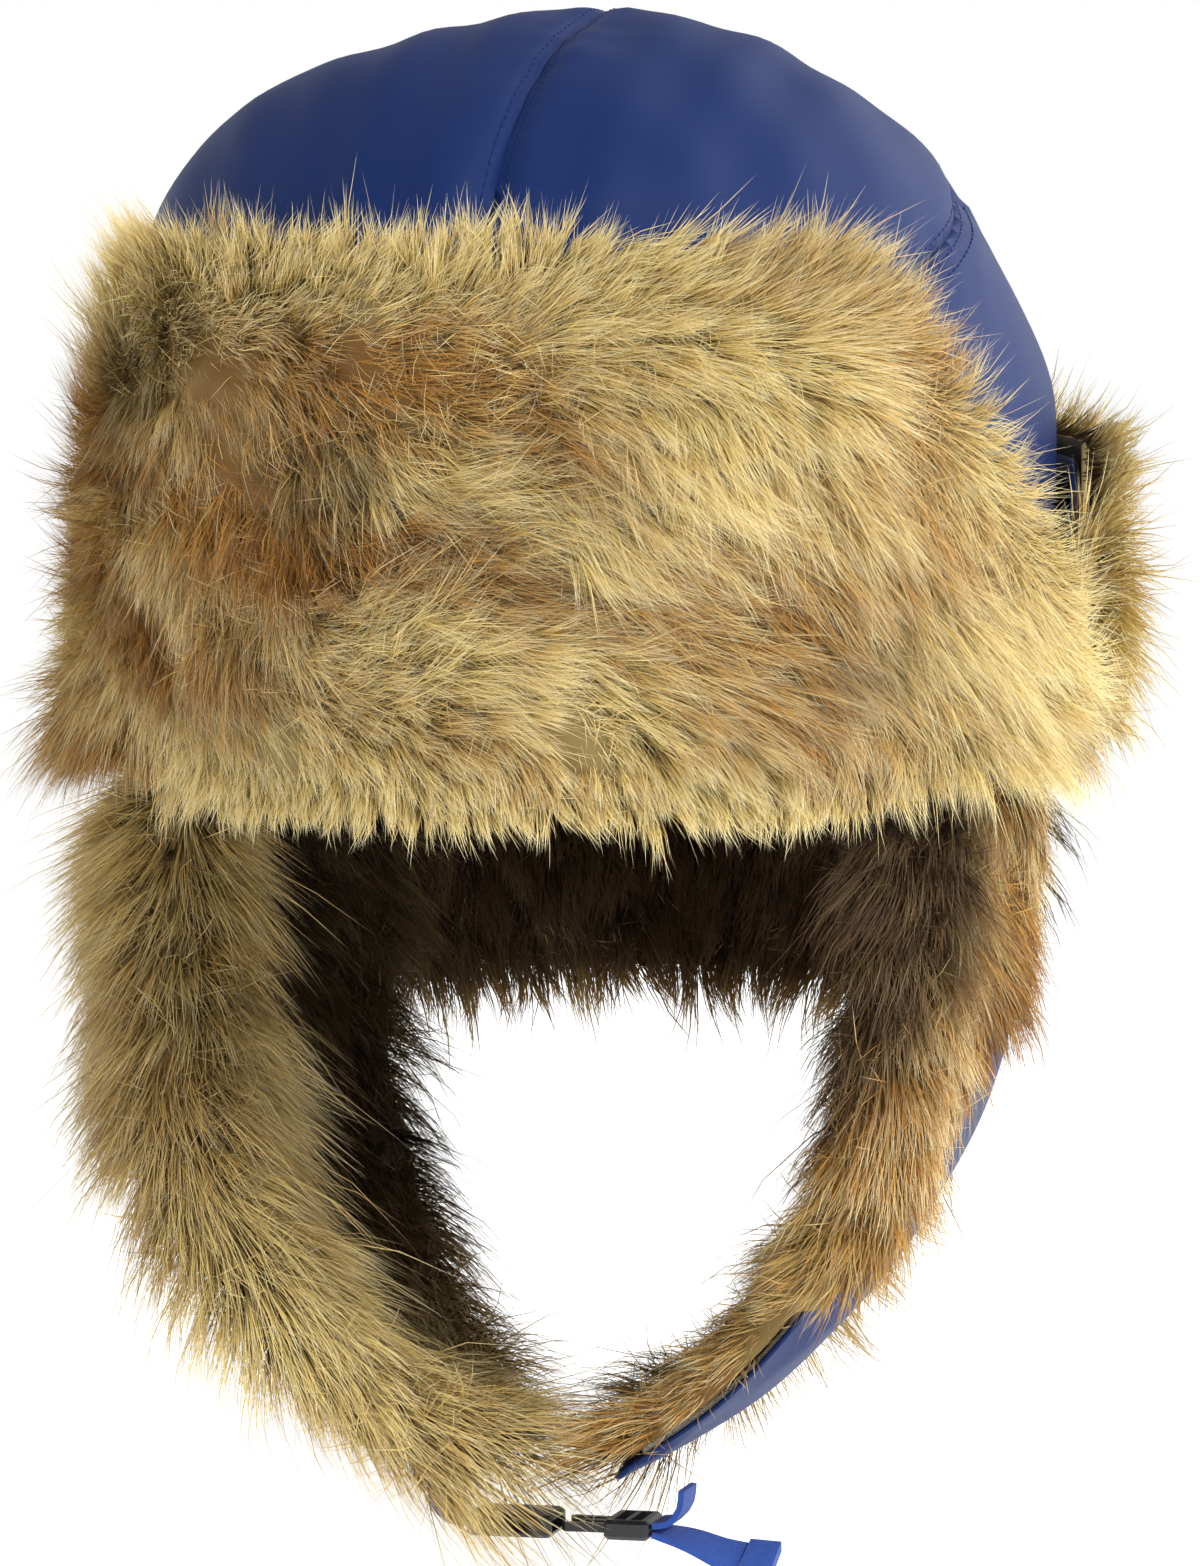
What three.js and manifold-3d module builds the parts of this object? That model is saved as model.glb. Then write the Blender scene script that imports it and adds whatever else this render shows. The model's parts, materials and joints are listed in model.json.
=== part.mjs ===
// A trapper hat: a padded nylon crown, a turned-up front flap and rear cuff faced with long-pile fur,
// two fur-lined ear flaps that fold up at the brim, a neck flap, and a chin strap with a plastic buckle.
//
// Units are millimetres. +Z is up and the hat faces -Y, so the wearer's left is +X.
// The origin is the middle of the head opening, in the plane of the brim seam.
import * as THREE from "three";
import { mergeVertices } from "three/addons/utils/BufferGeometryUtils.js";
import Module from "manifold-3d";

const wasm = await Module();
wasm.setup();

// ---------------------------------------------------------------- driving dimensions
const DEGREE = Math.PI / 180;
const GAP = 0.4; // left between layers that lie on each other

const CROWN_HALF_WIDTH = 100; // outside of the nylon, at the brim
const CROWN_HALF_LENGTH = 116;
const CROWN_HEIGHT = 167;
const CROWN_WALL = 6.5; // exponent of height in the profile: the more, the longer the wall stays upright
const CROWN_ROOF = 1.2; // exponent of reach in the profile: 1 is a flat cone of a top, 2 a round one
const CROWN_LEAN = 8.5; // the soft shoulders sit this far to the wearer's right
const CROWN_TURNS = 32; // facets round the crown
const CROWN_ROWS = 8; // facets from brim to apex

const NYLON = 1.4; // every outer shell
const CROWN_PADDING = 7.5;
const LINING = 1.4;

const FUR_DEPTH = 14; // the pile as a solid body, without its loose tips
const BACKING = 1.4;
const CUFF_STANDOFF = 3.5; // from crown to cuff at the brim
const CUFF_LEAN_FROM = 60; // above this height the cuff leans in, as the crown does
const CUFF_LEAN_IN = 0.04; // per millimetre of height
const FRONT_FLAP_HEIGHT = 112;
const FRONT_FLAP_HALF_ANGLE = 88 * DEGREE;
const REAR_CUFF_HEIGHT = 68;
const REAR_CUFF_FROM = 93 * DEGREE;
const FRONT_FUR_DROP = 5; // how far the front fur hangs under the brim seam
const FUR_CLEARANCE = 8; // over the ear and neck flaps it stops this far above the seam, so they can fold

const FLAP_TOP = -3; // ear and neck flaps start just under the bound brim
const FLAP_INSET = 2; // and this far inside the crown's outline
const FLAP_PADDING = 3.2;
const FLAP_FROM = 57 * DEGREE;
const FLAP_TO = 124 * DEGREE;
const NECK_FROM = 128 * DEGREE;
const NECK_DROP = 57;

const STRAP_WIDTH = 12;
const STRAP_THICKNESS = 1.3;
const BUCKLE_HEIGHT = -167;
const BUCKLE_Y = -46;
const BUCKLE_WIDTH = 15;
const BUCKLE_THICKNESS = 5;

// ---------------------------------------------------------------- materials
const cloth = (color, roughness) =>
  new THREE.MeshStandardMaterial({ color, roughness, metalness: 0 });
const nylonBlue = cloth(0x21458c, 0.45);
const furTan = cloth(0xb89558, 0.95);
const wadding = cloth(0xe6e4de, 1.0);
const liningDark = cloth(0x1c1a1e, 0.7);
const webbingBlue = cloth(0x3355a8, 0.75);
const plasticDark = cloth(0x23252a, 0.4);

// ---------------------------------------------------------------- solids
function solidOf(geometry) {
  const bare = geometry.clone();
  bare.deleteAttribute("normal");
  bare.deleteAttribute("uv");
  const merged = mergeVertices(bare, 1e-3);
  return new wasm.Manifold(
    new wasm.Mesh({
      numProp: 3,
      vertProperties: new Float32Array(merged.attributes.position.array),
      triVerts: new Uint32Array(merged.index.array),
    }),
  );
}

function geometryOf(solid) {
  const { vertProperties, triVerts } = solid.getMesh();
  const geometry = new THREE.BufferGeometry();
  geometry.setAttribute("position", new THREE.BufferAttribute(vertProperties, 3));
  geometry.setIndex(new THREE.BufferAttribute(triVerts, 1));
  return geometry;
}

// A closed body between two faces of a sheet. pointOn(u, v, side) gives a point for u and v from 0 to 1,
// on the face that looks out (side 0) or in (side 1).
function slab(pointOn, columns, rows) {
  const positions = [];
  const index = (side, i, j) => (side * (columns + 1) + i) * (rows + 1) + j;
  for (const side of [0, 1])
    for (let i = 0; i <= columns; i++)
      for (let j = 0; j <= rows; j++)
        positions.push(...pointOn(i / columns, j / rows, side).toArray());

  const triangles = [];
  const quad = (a, b, c, d) => triangles.push(a, b, c, a, c, d);
  for (let i = 0; i < columns; i++)
    for (let j = 0; j < rows; j++) {
      quad(index(0, i, j), index(0, i + 1, j), index(0, i + 1, j + 1), index(0, i, j + 1));
      quad(index(1, i, j), index(1, i, j + 1), index(1, i + 1, j + 1), index(1, i + 1, j));
    }
  for (let i = 0; i < columns; i++) {
    quad(index(0, i + 1, 0), index(0, i, 0), index(1, i, 0), index(1, i + 1, 0));
    quad(index(0, i, rows), index(0, i + 1, rows), index(1, i + 1, rows), index(1, i, rows));
  }
  for (let j = 0; j < rows; j++) {
    quad(index(0, 0, j), index(0, 0, j + 1), index(1, 0, j + 1), index(1, 0, j));
    quad(index(0, columns, j + 1), index(0, columns, j), index(1, columns, j), index(1, columns, j + 1));
  }
  const geometry = new THREE.BufferGeometry();
  geometry.setAttribute("position", new THREE.Float32BufferAttribute(positions, 3));
  geometry.setIndex(triangles);
  return facingOut(geometry);
}

function facingOut(geometry) {
  const at = geometry.attributes.position;
  const index = geometry.index.array;
  const corner = (i) => new THREE.Vector3().fromBufferAttribute(at, index[i]);
  let volume = 0;
  for (let i = 0; i < index.length; i += 3)
    volume += corner(i).dot(corner(i + 1).cross(corner(i + 2)));
  if (volume < 0) index.reverse();
  return geometry;
}

const group = new THREE.Group();

function add(name, geometry, material) {
  const mesh = new THREE.Mesh(geometry, material);
  mesh.name = name;
  group.add(mesh);
  return mesh;
}

// The wearer's left piece, and its mirror image for the right.
function addPair(stem, part, geometry, material) {
  add(`${stem}_left_${part}`, geometry, material);
  add(`${stem}_right_${part}`, geometry, material).scale.x = -1;
}

// ---------------------------------------------------------------- crown
// How far the soft crown leans to the wearer's right at a height: most at its shoulders.
function crownLean(z) {
  const share = Math.max(z / CROWN_HEIGHT, 0) ** 1.6;
  return CROWN_LEAN * 4 * share * (1 - share) * THREE.MathUtils.smoothstep(z, 75, 115);
}

// A dome of revolution with upright walls and a low roof, made into the crown's leaning oval. The
// inner face is inset further than the outer one.
function crownLayer(outerInset, innerInset) {
  const profile = [];
  const arc = (inset, row) => {
    const rise = (row / CROWN_ROWS) ** 1.6 * (Math.PI / 2);
    const reach = row === CROWN_ROWS ? 0 : Math.cos(rise) ** (2 / CROWN_ROOF);
    profile.push(new THREE.Vector2(reach, Math.sin(rise) ** (2 / CROWN_WALL)));
    profile.at(-1).inset = inset;
  };
  for (let row = CROWN_ROWS; row >= 0; row--) arc(outerInset, row);
  for (let row = 0; row <= CROWN_ROWS; row++) arc(innerInset, row);

  const rowsInProfile = profile.length;
  const geometry = new THREE.LatheGeometry(profile, CROWN_TURNS).rotateX(Math.PI / 2);
  const at = geometry.attributes.position;
  for (let i = 0; i < at.count; i++) {
    const { inset } = profile[i % rowsInProfile];
    const z = at.getZ(i) * (CROWN_HEIGHT - inset);
    at.setXYZ(
      i,
      at.getX(i) * (CROWN_HALF_WIDTH - inset) - crownLean(z),
      at.getY(i) * (CROWN_HALF_LENGTH - inset),
      z,
    );
  }
  const bare = mergeVertices(withoutExtras(geometry), 1e-3);
  return facingOut(withoutSlivers(bare));
}

function withoutExtras(geometry) {
  geometry.deleteAttribute("normal");
  geometry.deleteAttribute("uv");
  return geometry;
}

function withoutSlivers(geometry) {
  const kept = [];
  const index = geometry.index.array;
  for (let i = 0; i < index.length; i += 3) {
    const [a, b, c] = index.slice(i, i + 3);
    if (a !== b && b !== c && c !== a) kept.push(a, b, c);
  }
  geometry.setIndex(kept);
  return geometry;
}

// The outline, seen from the side, of what the two front panels cover: in front of the seam over the
// top, and above the seam that slopes down towards the forehead.
const TOP_SEAM_Y = 25;
const SIDE_SEAM_HEIGHT = 127; // where the two seams meet, above each ear
const SIDE_SEAM_SLOPE = 0.28;

function frontPanelRegion(grow) {
  const reach = CROWN_HALF_LENGTH + 30;
  const outline = new THREE.Shape([
    new THREE.Vector2(TOP_SEAM_Y + grow, SIDE_SEAM_HEIGHT - grow),
    new THREE.Vector2(TOP_SEAM_Y + grow, CROWN_HEIGHT + 30),
    new THREE.Vector2(-reach, CROWN_HEIGHT + 30),
    new THREE.Vector2(-reach, SIDE_SEAM_HEIGHT - grow - SIDE_SEAM_SLOPE * (reach + TOP_SEAM_Y)),
  ]);
  const span = 2 * (CROWN_HALF_WIDTH + 30);
  const prism = new THREE.ExtrudeGeometry(outline, { depth: span, bevelEnabled: false });
  // The outline's own axes become Y and Z, and the extrusion runs along X.
  prism.applyMatrix4(new THREE.Matrix4().set(0, 0, 1, -span / 2, 1, 0, 0, 0, 0, 1, 0, 0, 0, 0, 0, 1));
  return solidOf(prism);
}

function halfSpace(side) {
  const size = 2 * CROWN_HALF_LENGTH + 60;
  const block = new THREE.BoxGeometry(size, size, size);
  return solidOf(block.translate(side * (size / 2 + GAP / 2), 0, size / 2 - 20));
}

function addCrown() {
  const shell = solidOf(crownLayer(0, NYLON));
  const front = shell.intersect(frontPanelRegion(0));
  const rear = shell.subtract(frontPanelRegion(GAP));
  for (const [side, name] of [[1, "left"], [-1, "right"]]) {
    add(`crown_front_panel_${name}`, geometryOf(front.intersect(halfSpace(side))), nylonBlue);
    add(`crown_rear_panel_${name}`, geometryOf(rear.intersect(halfSpace(side))), nylonBlue);
  }
  const paddingInset = NYLON + GAP;
  const liningInset = paddingInset + CROWN_PADDING + GAP;
  add("crown_padding", crownLayer(paddingInset, paddingInset + CROWN_PADDING), wadding);
  add("crown_lining", crownLayer(liningInset, liningInset + LINING), liningDark);
  return liningInset + LINING;
}

// A ring that follows the crown's oval, from one inset to another and one height to another.
function ovalBand(outerInset, innerInset, low, high) {
  const corners = [
    [innerInset, low],
    [outerInset, low],
    [outerInset, high],
    [innerInset, high],
    [innerInset, low],
  ].map(([inset, z]) => new THREE.Vector2(inset, z));
  const geometry = new THREE.LatheGeometry(corners, CROWN_TURNS).rotateX(Math.PI / 2);
  const at = geometry.attributes.position;
  for (let i = 0; i < at.count; i++) {
    const inset = Math.hypot(at.getX(i), at.getY(i));
    at.setX(i, (at.getX(i) / inset) * (CROWN_HALF_WIDTH - inset));
    at.setY(i, (at.getY(i) / inset) * (CROWN_HALF_LENGTH - inset));
  }
  return facingOut(mergeVertices(withoutExtras(geometry), 1e-3));
}

function addBrim(liningInside) {
  const sweatbandInset = liningInside + GAP + 1.5;
  add("sweatband", ovalBand(sweatbandInset, sweatbandInset + 1.6, 1, 27), liningDark);
  add("brim_binding", ovalBand(0.6, sweatbandInset, -2.4, -GAP), nylonBlue);
}

// ---------------------------------------------------------------- turned-up front flap and rear cuff
// A point on the cuff, at an angle round from the front, a height, and a distance out from the crown.
function cuffPoint(angle, z, out) {
  const reach = out - CUFF_LEAN_IN * Math.max(z - CUFF_LEAN_FROM, 0);
  return new THREE.Vector3(
    (CROWN_HALF_WIDTH + reach) * Math.sin(angle),
    -(CROWN_HALF_LENGTH + reach) * Math.cos(angle),
    z,
  );
}

const smoothstep = THREE.MathUtils.smoothstep;

// The flap is level over the forehead, then its ends slope down to the brim over the ears, a
// little sooner on the wearer's left.
function frontFlapTop(angle) {
  const levelTo = (angle > 0 ? 38 : 48) * DEGREE;
  const slope = smoothstep(Math.abs(angle), levelTo, FRONT_FLAP_HALF_ANGLE);
  return FRONT_FLAP_HEIGHT * (1 - 0.82 * slope);
}

function rearCuffTop(angle) {
  const round = Math.abs(Math.PI - angle);
  const slope = smoothstep(round, 77 * DEGREE, Math.PI - REAR_CUFF_FROM);
  return REAR_CUFF_HEIGHT * (1 - 0.3 * slope);
}

const frontFurLow = (angle) =>
  FUR_CLEARANCE * smoothstep(Math.abs(angle), 42 * DEGREE, 58 * DEGREE) -
  FRONT_FUR_DROP * (1 - smoothstep(Math.abs(angle), 36 * DEGREE, 50 * DEGREE));
const rearFurLow = () => FUR_CLEARANCE;

// How deep the pile stands at a share of its height: rounded off at both edges.
const pileDepth = (share) => FUR_DEPTH * Math.max(1 - Math.abs(2 * share - 1) ** 3, 0.25);

function addCuff(stem, from, to, topAt, furLowAt, columns) {
  const angleAt = (u) => from + (to - from) * u;
  const backing = (u, v, side) => {
    const angle = angleAt(u);
    const low = 1;
    return cuffPoint(angle, low + (topAt(angle) - low) * v, CUFF_STANDOFF + (side ? 0 : BACKING));
  };
  const fur = (u, v, side) => {
    const angle = angleAt(u);
    const low = furLowAt(angle);
    const high = topAt(angle) + 4;
    const out = CUFF_STANDOFF + BACKING + GAP + (side ? 0 : pileDepth(v));
    return cuffPoint(angle, low + (high - low) * v, out);
  };
  add(`${stem}_backing`, slab(backing, columns, 3), nylonBlue);
  add(`${stem}_fur`, slab(fur, columns, 6), furTan);
}

// ---------------------------------------------------------------- ear flaps
// Three lines run down the wearer's left flap: its front edge, its fullest line and its rear edge.
const brimPoint = (angle) =>
  new THREE.Vector3(
    (CROWN_HALF_WIDTH - FLAP_INSET) * Math.sin(angle),
    -(CROWN_HALF_LENGTH - FLAP_INSET) * Math.cos(angle),
    FLAP_TOP,
  );
const downTo = (...points) => points.map(([x, y, z]) => new THREE.Vector3(x, y, z));
const frontEdge = new THREE.CatmullRomCurve3([
  brimPoint(FLAP_FROM),
  ...downTo([84, -66, -52], [75, -68, -98], [47, -62, -135], [19, -53, -156]),
]);
const fullestLine = new THREE.CatmullRomCurve3([
  brimPoint((FLAP_FROM + FLAP_TO) / 2),
  ...downTo([95, -8, -45], [83, -16, -90], [49, -32, -135], [16, -46, -159]),
]);
const rearEdge = new THREE.CatmullRomCurve3([
  brimPoint(FLAP_TO),
  ...downTo([79, 60, -41], [70, 38, -82], [45, 3, -124], [16, -38, -156]),
]);

function flapPoint(across, down) {
  const front = frontEdge.getPoint(down);
  const rear = rearEdge.getPoint(down);
  const bulge = fullestLine.getPoint(down).multiplyScalar(2);
  bulge.addScaledVector(front, -0.5).addScaledVector(rear, -0.5);
  const inverse = 1 - across;
  return new THREE.Vector3()
    .addScaledVector(front, inverse * inverse)
    .addScaledVector(bulge, 2 * across * inverse)
    .addScaledVector(rear, across * across);
}

function flapNormalIn(across, down) {
  const step = 0.01;
  const low = Math.max(down - step, 0);
  const high = Math.min(down + step, 1);
  const along = flapPoint(across, high).sub(flapPoint(across, low));
  const side = flapPoint(across + step, down).sub(flapPoint(across - step, down));
  const normal = along.cross(side).normalize();
  return normal.x > 0 ? normal.negate() : normal;
}

const flapLayer = (fromDepth, toDepthAt) => (u, v, side) => {
  const inward = flapNormalIn(u, v);
  if (v === 0) inward.setZ(0).normalize(); // the sewn top edge stays level
  return flapPoint(u, v).addScaledVector(inward, side ? toDepthAt(u, v) : fromDepth);
};

function addEarFlaps() {
  const paddingFrom = NYLON + GAP;
  const furFrom = paddingFrom + FLAP_PADDING + GAP;
  const paddingTo = () => paddingFrom + FLAP_PADDING;
  const furTo = (u) => furFrom + FUR_DEPTH * Math.max(1 - Math.abs(2 * u - 1) ** 4, 0.4);
  addPair("ear_flap", "shell", slab(flapLayer(0, () => NYLON), 8, 8), nylonBlue);
  addPair("ear_flap", "padding", slab(flapLayer(paddingFrom, paddingTo), 8, 8), wadding);
  addPair("ear_flap", "fur", slab(flapLayer(furFrom, furTo), 8, 8), furTan);
}

// ---------------------------------------------------------------- neck flap
function addNeckFlap() {
  const layer = (fromDepth, toDepth, drop) => (u, v, side) => {
    const angle = NECK_FROM + (2 * Math.PI - 2 * NECK_FROM) * u;
    const inset = FLAP_INSET + (side ? toDepth(v) : fromDepth);
    return new THREE.Vector3(
      (CROWN_HALF_WIDTH - inset) * Math.sin(angle),
      -(CROWN_HALF_LENGTH - inset) * Math.cos(angle),
      FLAP_TOP - drop * v,
    );
  };
  const paddingFrom = NYLON + GAP;
  const furFrom = paddingFrom + FLAP_PADDING + GAP;
  add("neck_flap_shell", slab(layer(0, () => NYLON, NECK_DROP), 14, 3), nylonBlue);
  add(
    "neck_flap_padding",
    slab(layer(paddingFrom, () => paddingFrom + FLAP_PADDING, NECK_DROP - 2), 14, 3), wadding,
  );
  const furTo = (v) => furFrom + FUR_DEPTH * Math.max(1 - v ** 4, 0.3);
  add("neck_flap_fur", slab(layer(furFrom, furTo, NECK_DROP + 5), 14, 5), furTan);
}

// ---------------------------------------------------------------- chin strap and buckle
// A flat strap along a curve in the XZ plane. Its width is tipped by an angle that changes evenly.
function strap(points, tipFrom, tipTo, thickness, width, steps) {
  const route = new THREE.CatmullRomCurve3(downTo(...points));
  return slab(
    (u, v, side) => {
      const middle = route.getPoint(u);
      const along = route.getTangent(u);
      const tip = THREE.MathUtils.lerp(tipFrom, tipTo, u);
      const flat = new THREE.Vector3(0, Math.cos(tip), Math.sin(tip));
      const wide = flat.addScaledVector(along, -flat.dot(along)).normalize();
      const face = new THREE.Vector3().crossVectors(along, wide).normalize();
      return middle
        .addScaledVector(wide, (v - 0.5) * width)
        .addScaledVector(face, (side - 0.5) * thickness);
    },
    steps,
    1,
  );
}

const block = (x0, x1, width, thickness) =>
  solidOf(
    new THREE.BoxGeometry(x1 - x0, width, thickness).translate((x0 + x1) / 2, BUCKLE_Y, BUCKLE_HEIGHT),
  );

// A rounded plate, thinner at its edges than a box, for the moulded buckle halves.
function mouldedPlate(x0, x1, width, thickness) {
  const corner = 2;
  const outline = new THREE.Shape();
  const half = width / 2;
  outline.moveTo(x0 + corner, -half);
  outline.lineTo(x1 - corner, -half);
  outline.quadraticCurveTo(x1, -half, x1, -half + corner);
  outline.lineTo(x1, half - corner);
  outline.quadraticCurveTo(x1, half, x1 - corner, half);
  outline.lineTo(x0 + corner, half);
  outline.quadraticCurveTo(x0, half, x0, half - corner);
  outline.lineTo(x0, -half + corner);
  outline.quadraticCurveTo(x0, -half, x0 + corner, -half);
  const bevel = 0.8;
  const plate = new THREE.ExtrudeGeometry(outline, {
    depth: thickness - 2 * bevel,
    bevelThickness: bevel,
    bevelSize: bevel,
    bevelOffset: -bevel,
    bevelSegments: 1,
    curveSegments: 3,
  });
  return solidOf(plate.translate(0, BUCKLE_Y, BUCKLE_HEIGHT - thickness / 2 + bevel));
}

const SOCKET_FROM = -18; // the bar end, on the wearer's right strap
const SOCKET_TO = 1.5; // the mouth
const PLUG_FROM = 3.2; // the prongs' tips
const PLUG_SHOULDER = 13;
const PLUG_TO = 23.5; // the bar end, on the wearer's left strap
const BAR = 2.2;
const SLOT = 3.4;

function buckleSocket() {
  const body = mouldedPlate(SOCKET_FROM, SOCKET_TO, BUCKLE_WIDTH, BUCKLE_THICKNESS);
  const pocket = block(SOCKET_FROM + BAR + SLOT + 3, SOCKET_TO + 2, BUCKLE_WIDTH - 3, 2.6);
  const slot = block(SOCKET_FROM + BAR, SOCKET_FROM + BAR + SLOT, BUCKLE_WIDTH - 3, 9);
  const sideWindows = block(SOCKET_TO - 9, SOCKET_TO - 4, BUCKLE_WIDTH + 4, 2.6);
  return body.subtract(pocket).subtract(slot).subtract(sideWindows);
}

// A shouldered plate with two side prongs and a middle guide, and a double slot for the strap.
function bucklePlug() {
  const plate = mouldedPlate(PLUG_SHOULDER, PLUG_TO, BUCKLE_WIDTH, BUCKLE_THICKNESS - 0.6);
  const prongs = new THREE.Shape([
    new THREE.Vector2(PLUG_SHOULDER + 1, -5.2),
    new THREE.Vector2(PLUG_SHOULDER + 1, -3.2),
    new THREE.Vector2(PLUG_FROM + 3.5, -3.4),
    new THREE.Vector2(PLUG_FROM, -4.2),
    new THREE.Vector2(PLUG_FROM + 1, -5.6),
    new THREE.Vector2(PLUG_FROM + 4, -5.2),
  ]);
  const prong = new THREE.ExtrudeGeometry(prongs, { depth: 2, bevelEnabled: false });
  const placed = solidOf(prong.translate(0, BUCKLE_Y, BUCKLE_HEIGHT - 1));
  const mirrored = placed.translate([0, -BUCKLE_Y, 0]).mirror([0, 1, 0]).translate([0, BUCKLE_Y, 0]);
  const guide = block(PLUG_FROM + 1.5, PLUG_SHOULDER + 1, 2.2, 2);
  const slotAt = (x) => block(x, x + 2.6, BUCKLE_WIDTH - 3, 9);
  return plate
    .subtract(slotAt(PLUG_SHOULDER + 2.2))
    .subtract(slotAt(PLUG_TO - BAR - 2.4))
    .add(placed)
    .add(mirrored)
    .add(guide);
}

const STRAP_TIP = 25 * DEGREE; // how far the strap's width leans out of level
const LOOSE_END = 50; // X of the strap's free end

function addChinStrap() {
  const z = BUCKLE_HEIGHT;
  const right = [
    [-26.5, BUCKLE_Y, z + 8.5],
    [-25.5, BUCKLE_Y, z + 4],
    [-22.5, BUCKLE_Y, z + 0.6],
    [SOCKET_FROM - GAP, BUCKLE_Y, z],
  ];
  add("chin_strap_right_webbing", strap(right, 0, 0, STRAP_THICKNESS, STRAP_WIDTH, 6), webbingBlue);
  add("buckle_socket", geometryOf(buckleSocket()), plasticDark);
  add("buckle_plug", geometryOf(bucklePlug()), plasticDark);
  const left = [
    [30.5, BUCKLE_Y, z + 9],
    [30, BUCKLE_Y, z + 5],
    [27.5, BUCKLE_Y, z + 1.6],
    [PLUG_TO + GAP, BUCKLE_Y, z + 0.9],
  ];
  add("chin_strap_left_webbing", strap(left, 0, 0, STRAP_THICKNESS, STRAP_WIDTH, 6), webbingBlue);
  const free = [
    [PLUG_TO + GAP, BUCKLE_Y, z - 1],
    [31, BUCKLE_Y, z - 2.6],
    [38, BUCKLE_Y, z - 5.2],
    [LOOSE_END - 7.5, BUCKLE_Y, z - 6.6],
  ];
  add(
    "chin_strap_loose_end",
    strap(free, 0, STRAP_TIP, STRAP_THICKNESS, STRAP_WIDTH, 8), webbingBlue,
  );
  const tab = [
    [LOOSE_END - 7, BUCKLE_Y, z - 6.7],
    [LOOSE_END, BUCKLE_Y, z - 7.6],
  ];
  add(
    "chin_strap_end_tab",
    strap(tab, STRAP_TIP, STRAP_TIP + 8 * DEGREE, 3, STRAP_WIDTH + 0.6, 2), webbingBlue,
  );
}

// ---------------------------------------------------------------- the whole hat
const liningInside = addCrown();
addBrim(liningInside);
addCuff(
  "front_flap", -FRONT_FLAP_HALF_ANGLE, FRONT_FLAP_HALF_ANGLE, frontFlapTop, frontFurLow, 22,
);
addCuff("rear_cuff", REAR_CUFF_FROM, 2 * Math.PI - REAR_CUFF_FROM, rearCuffTop, rearFurLow, 22);
addEarFlaps();
addNeckFlap();
addChinStrap();

export default group;
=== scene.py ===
import json
import math

import bmesh
import bpy
import numpy as np
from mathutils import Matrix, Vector
from mathutils.kdtree import KDTree

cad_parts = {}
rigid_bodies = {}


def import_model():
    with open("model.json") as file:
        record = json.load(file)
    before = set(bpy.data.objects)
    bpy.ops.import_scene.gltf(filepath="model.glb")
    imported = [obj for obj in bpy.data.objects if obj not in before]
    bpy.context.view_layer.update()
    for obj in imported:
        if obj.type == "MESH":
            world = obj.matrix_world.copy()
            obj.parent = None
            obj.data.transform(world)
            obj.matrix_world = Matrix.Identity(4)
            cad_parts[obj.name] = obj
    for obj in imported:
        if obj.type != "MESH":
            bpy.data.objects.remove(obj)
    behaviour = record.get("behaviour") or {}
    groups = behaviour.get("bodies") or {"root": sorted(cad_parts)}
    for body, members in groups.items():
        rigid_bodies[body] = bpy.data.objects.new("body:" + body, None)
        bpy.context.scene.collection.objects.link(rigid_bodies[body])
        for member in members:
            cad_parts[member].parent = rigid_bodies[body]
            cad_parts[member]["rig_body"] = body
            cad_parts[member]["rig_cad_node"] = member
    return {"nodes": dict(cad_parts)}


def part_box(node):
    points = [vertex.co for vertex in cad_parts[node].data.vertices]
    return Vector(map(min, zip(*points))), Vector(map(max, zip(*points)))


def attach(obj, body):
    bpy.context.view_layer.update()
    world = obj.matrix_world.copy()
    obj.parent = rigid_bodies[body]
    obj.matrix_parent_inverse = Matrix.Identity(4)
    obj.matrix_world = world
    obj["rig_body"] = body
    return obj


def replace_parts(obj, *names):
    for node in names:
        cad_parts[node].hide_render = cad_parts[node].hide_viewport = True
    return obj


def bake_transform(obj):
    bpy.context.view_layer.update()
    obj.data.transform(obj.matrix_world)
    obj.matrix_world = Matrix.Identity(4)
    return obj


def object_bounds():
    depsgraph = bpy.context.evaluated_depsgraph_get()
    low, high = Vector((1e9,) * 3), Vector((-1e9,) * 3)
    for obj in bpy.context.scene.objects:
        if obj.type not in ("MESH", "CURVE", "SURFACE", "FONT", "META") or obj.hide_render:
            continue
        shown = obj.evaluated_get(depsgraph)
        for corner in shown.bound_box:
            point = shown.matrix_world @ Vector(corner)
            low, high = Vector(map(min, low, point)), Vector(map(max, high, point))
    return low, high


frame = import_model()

bounds_at_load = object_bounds()


# ------------------------------------------------------------ camera, light and floor
# A long lens looks slightly down on the hat from a little to the wearer's left, as the hat
# hangs free in front of a pale studio background. A large soft lamp is the main light.
AZIMUTH = math.radians(14)
ELEVATION = math.radians(5)
DISTANCE = 2.0
FIELD_HEIGHT = 0.3495
SENSOR = 36
AIM_RIGHT, AIM_UP = -0.0007, -0.0078
back = Vector((
    math.sin(AZIMUTH) * math.cos(ELEVATION),
    -math.cos(AZIMUTH) * math.cos(ELEVATION),
    math.sin(ELEVATION),
))
right = Vector((math.cos(AZIMUTH), math.sin(AZIMUTH), 0))
up = back.cross(right)
aim = right * AIM_RIGHT + up * AIM_UP

lens = bpy.data.cameras.new("camera")
lens.sensor_width = SENSOR
lens.lens = SENSOR * DISTANCE / FIELD_HEIGHT
camera = bpy.data.objects.new("camera", lens)
camera.location = aim + back * DISTANCE
camera.rotation_euler = back.to_track_quat("Z", "Y").to_euler()
bpy.context.scene.collection.objects.link(camera)
bpy.context.scene.camera = camera
bpy.context.scene.view_settings.view_transform = "Standard"


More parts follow.
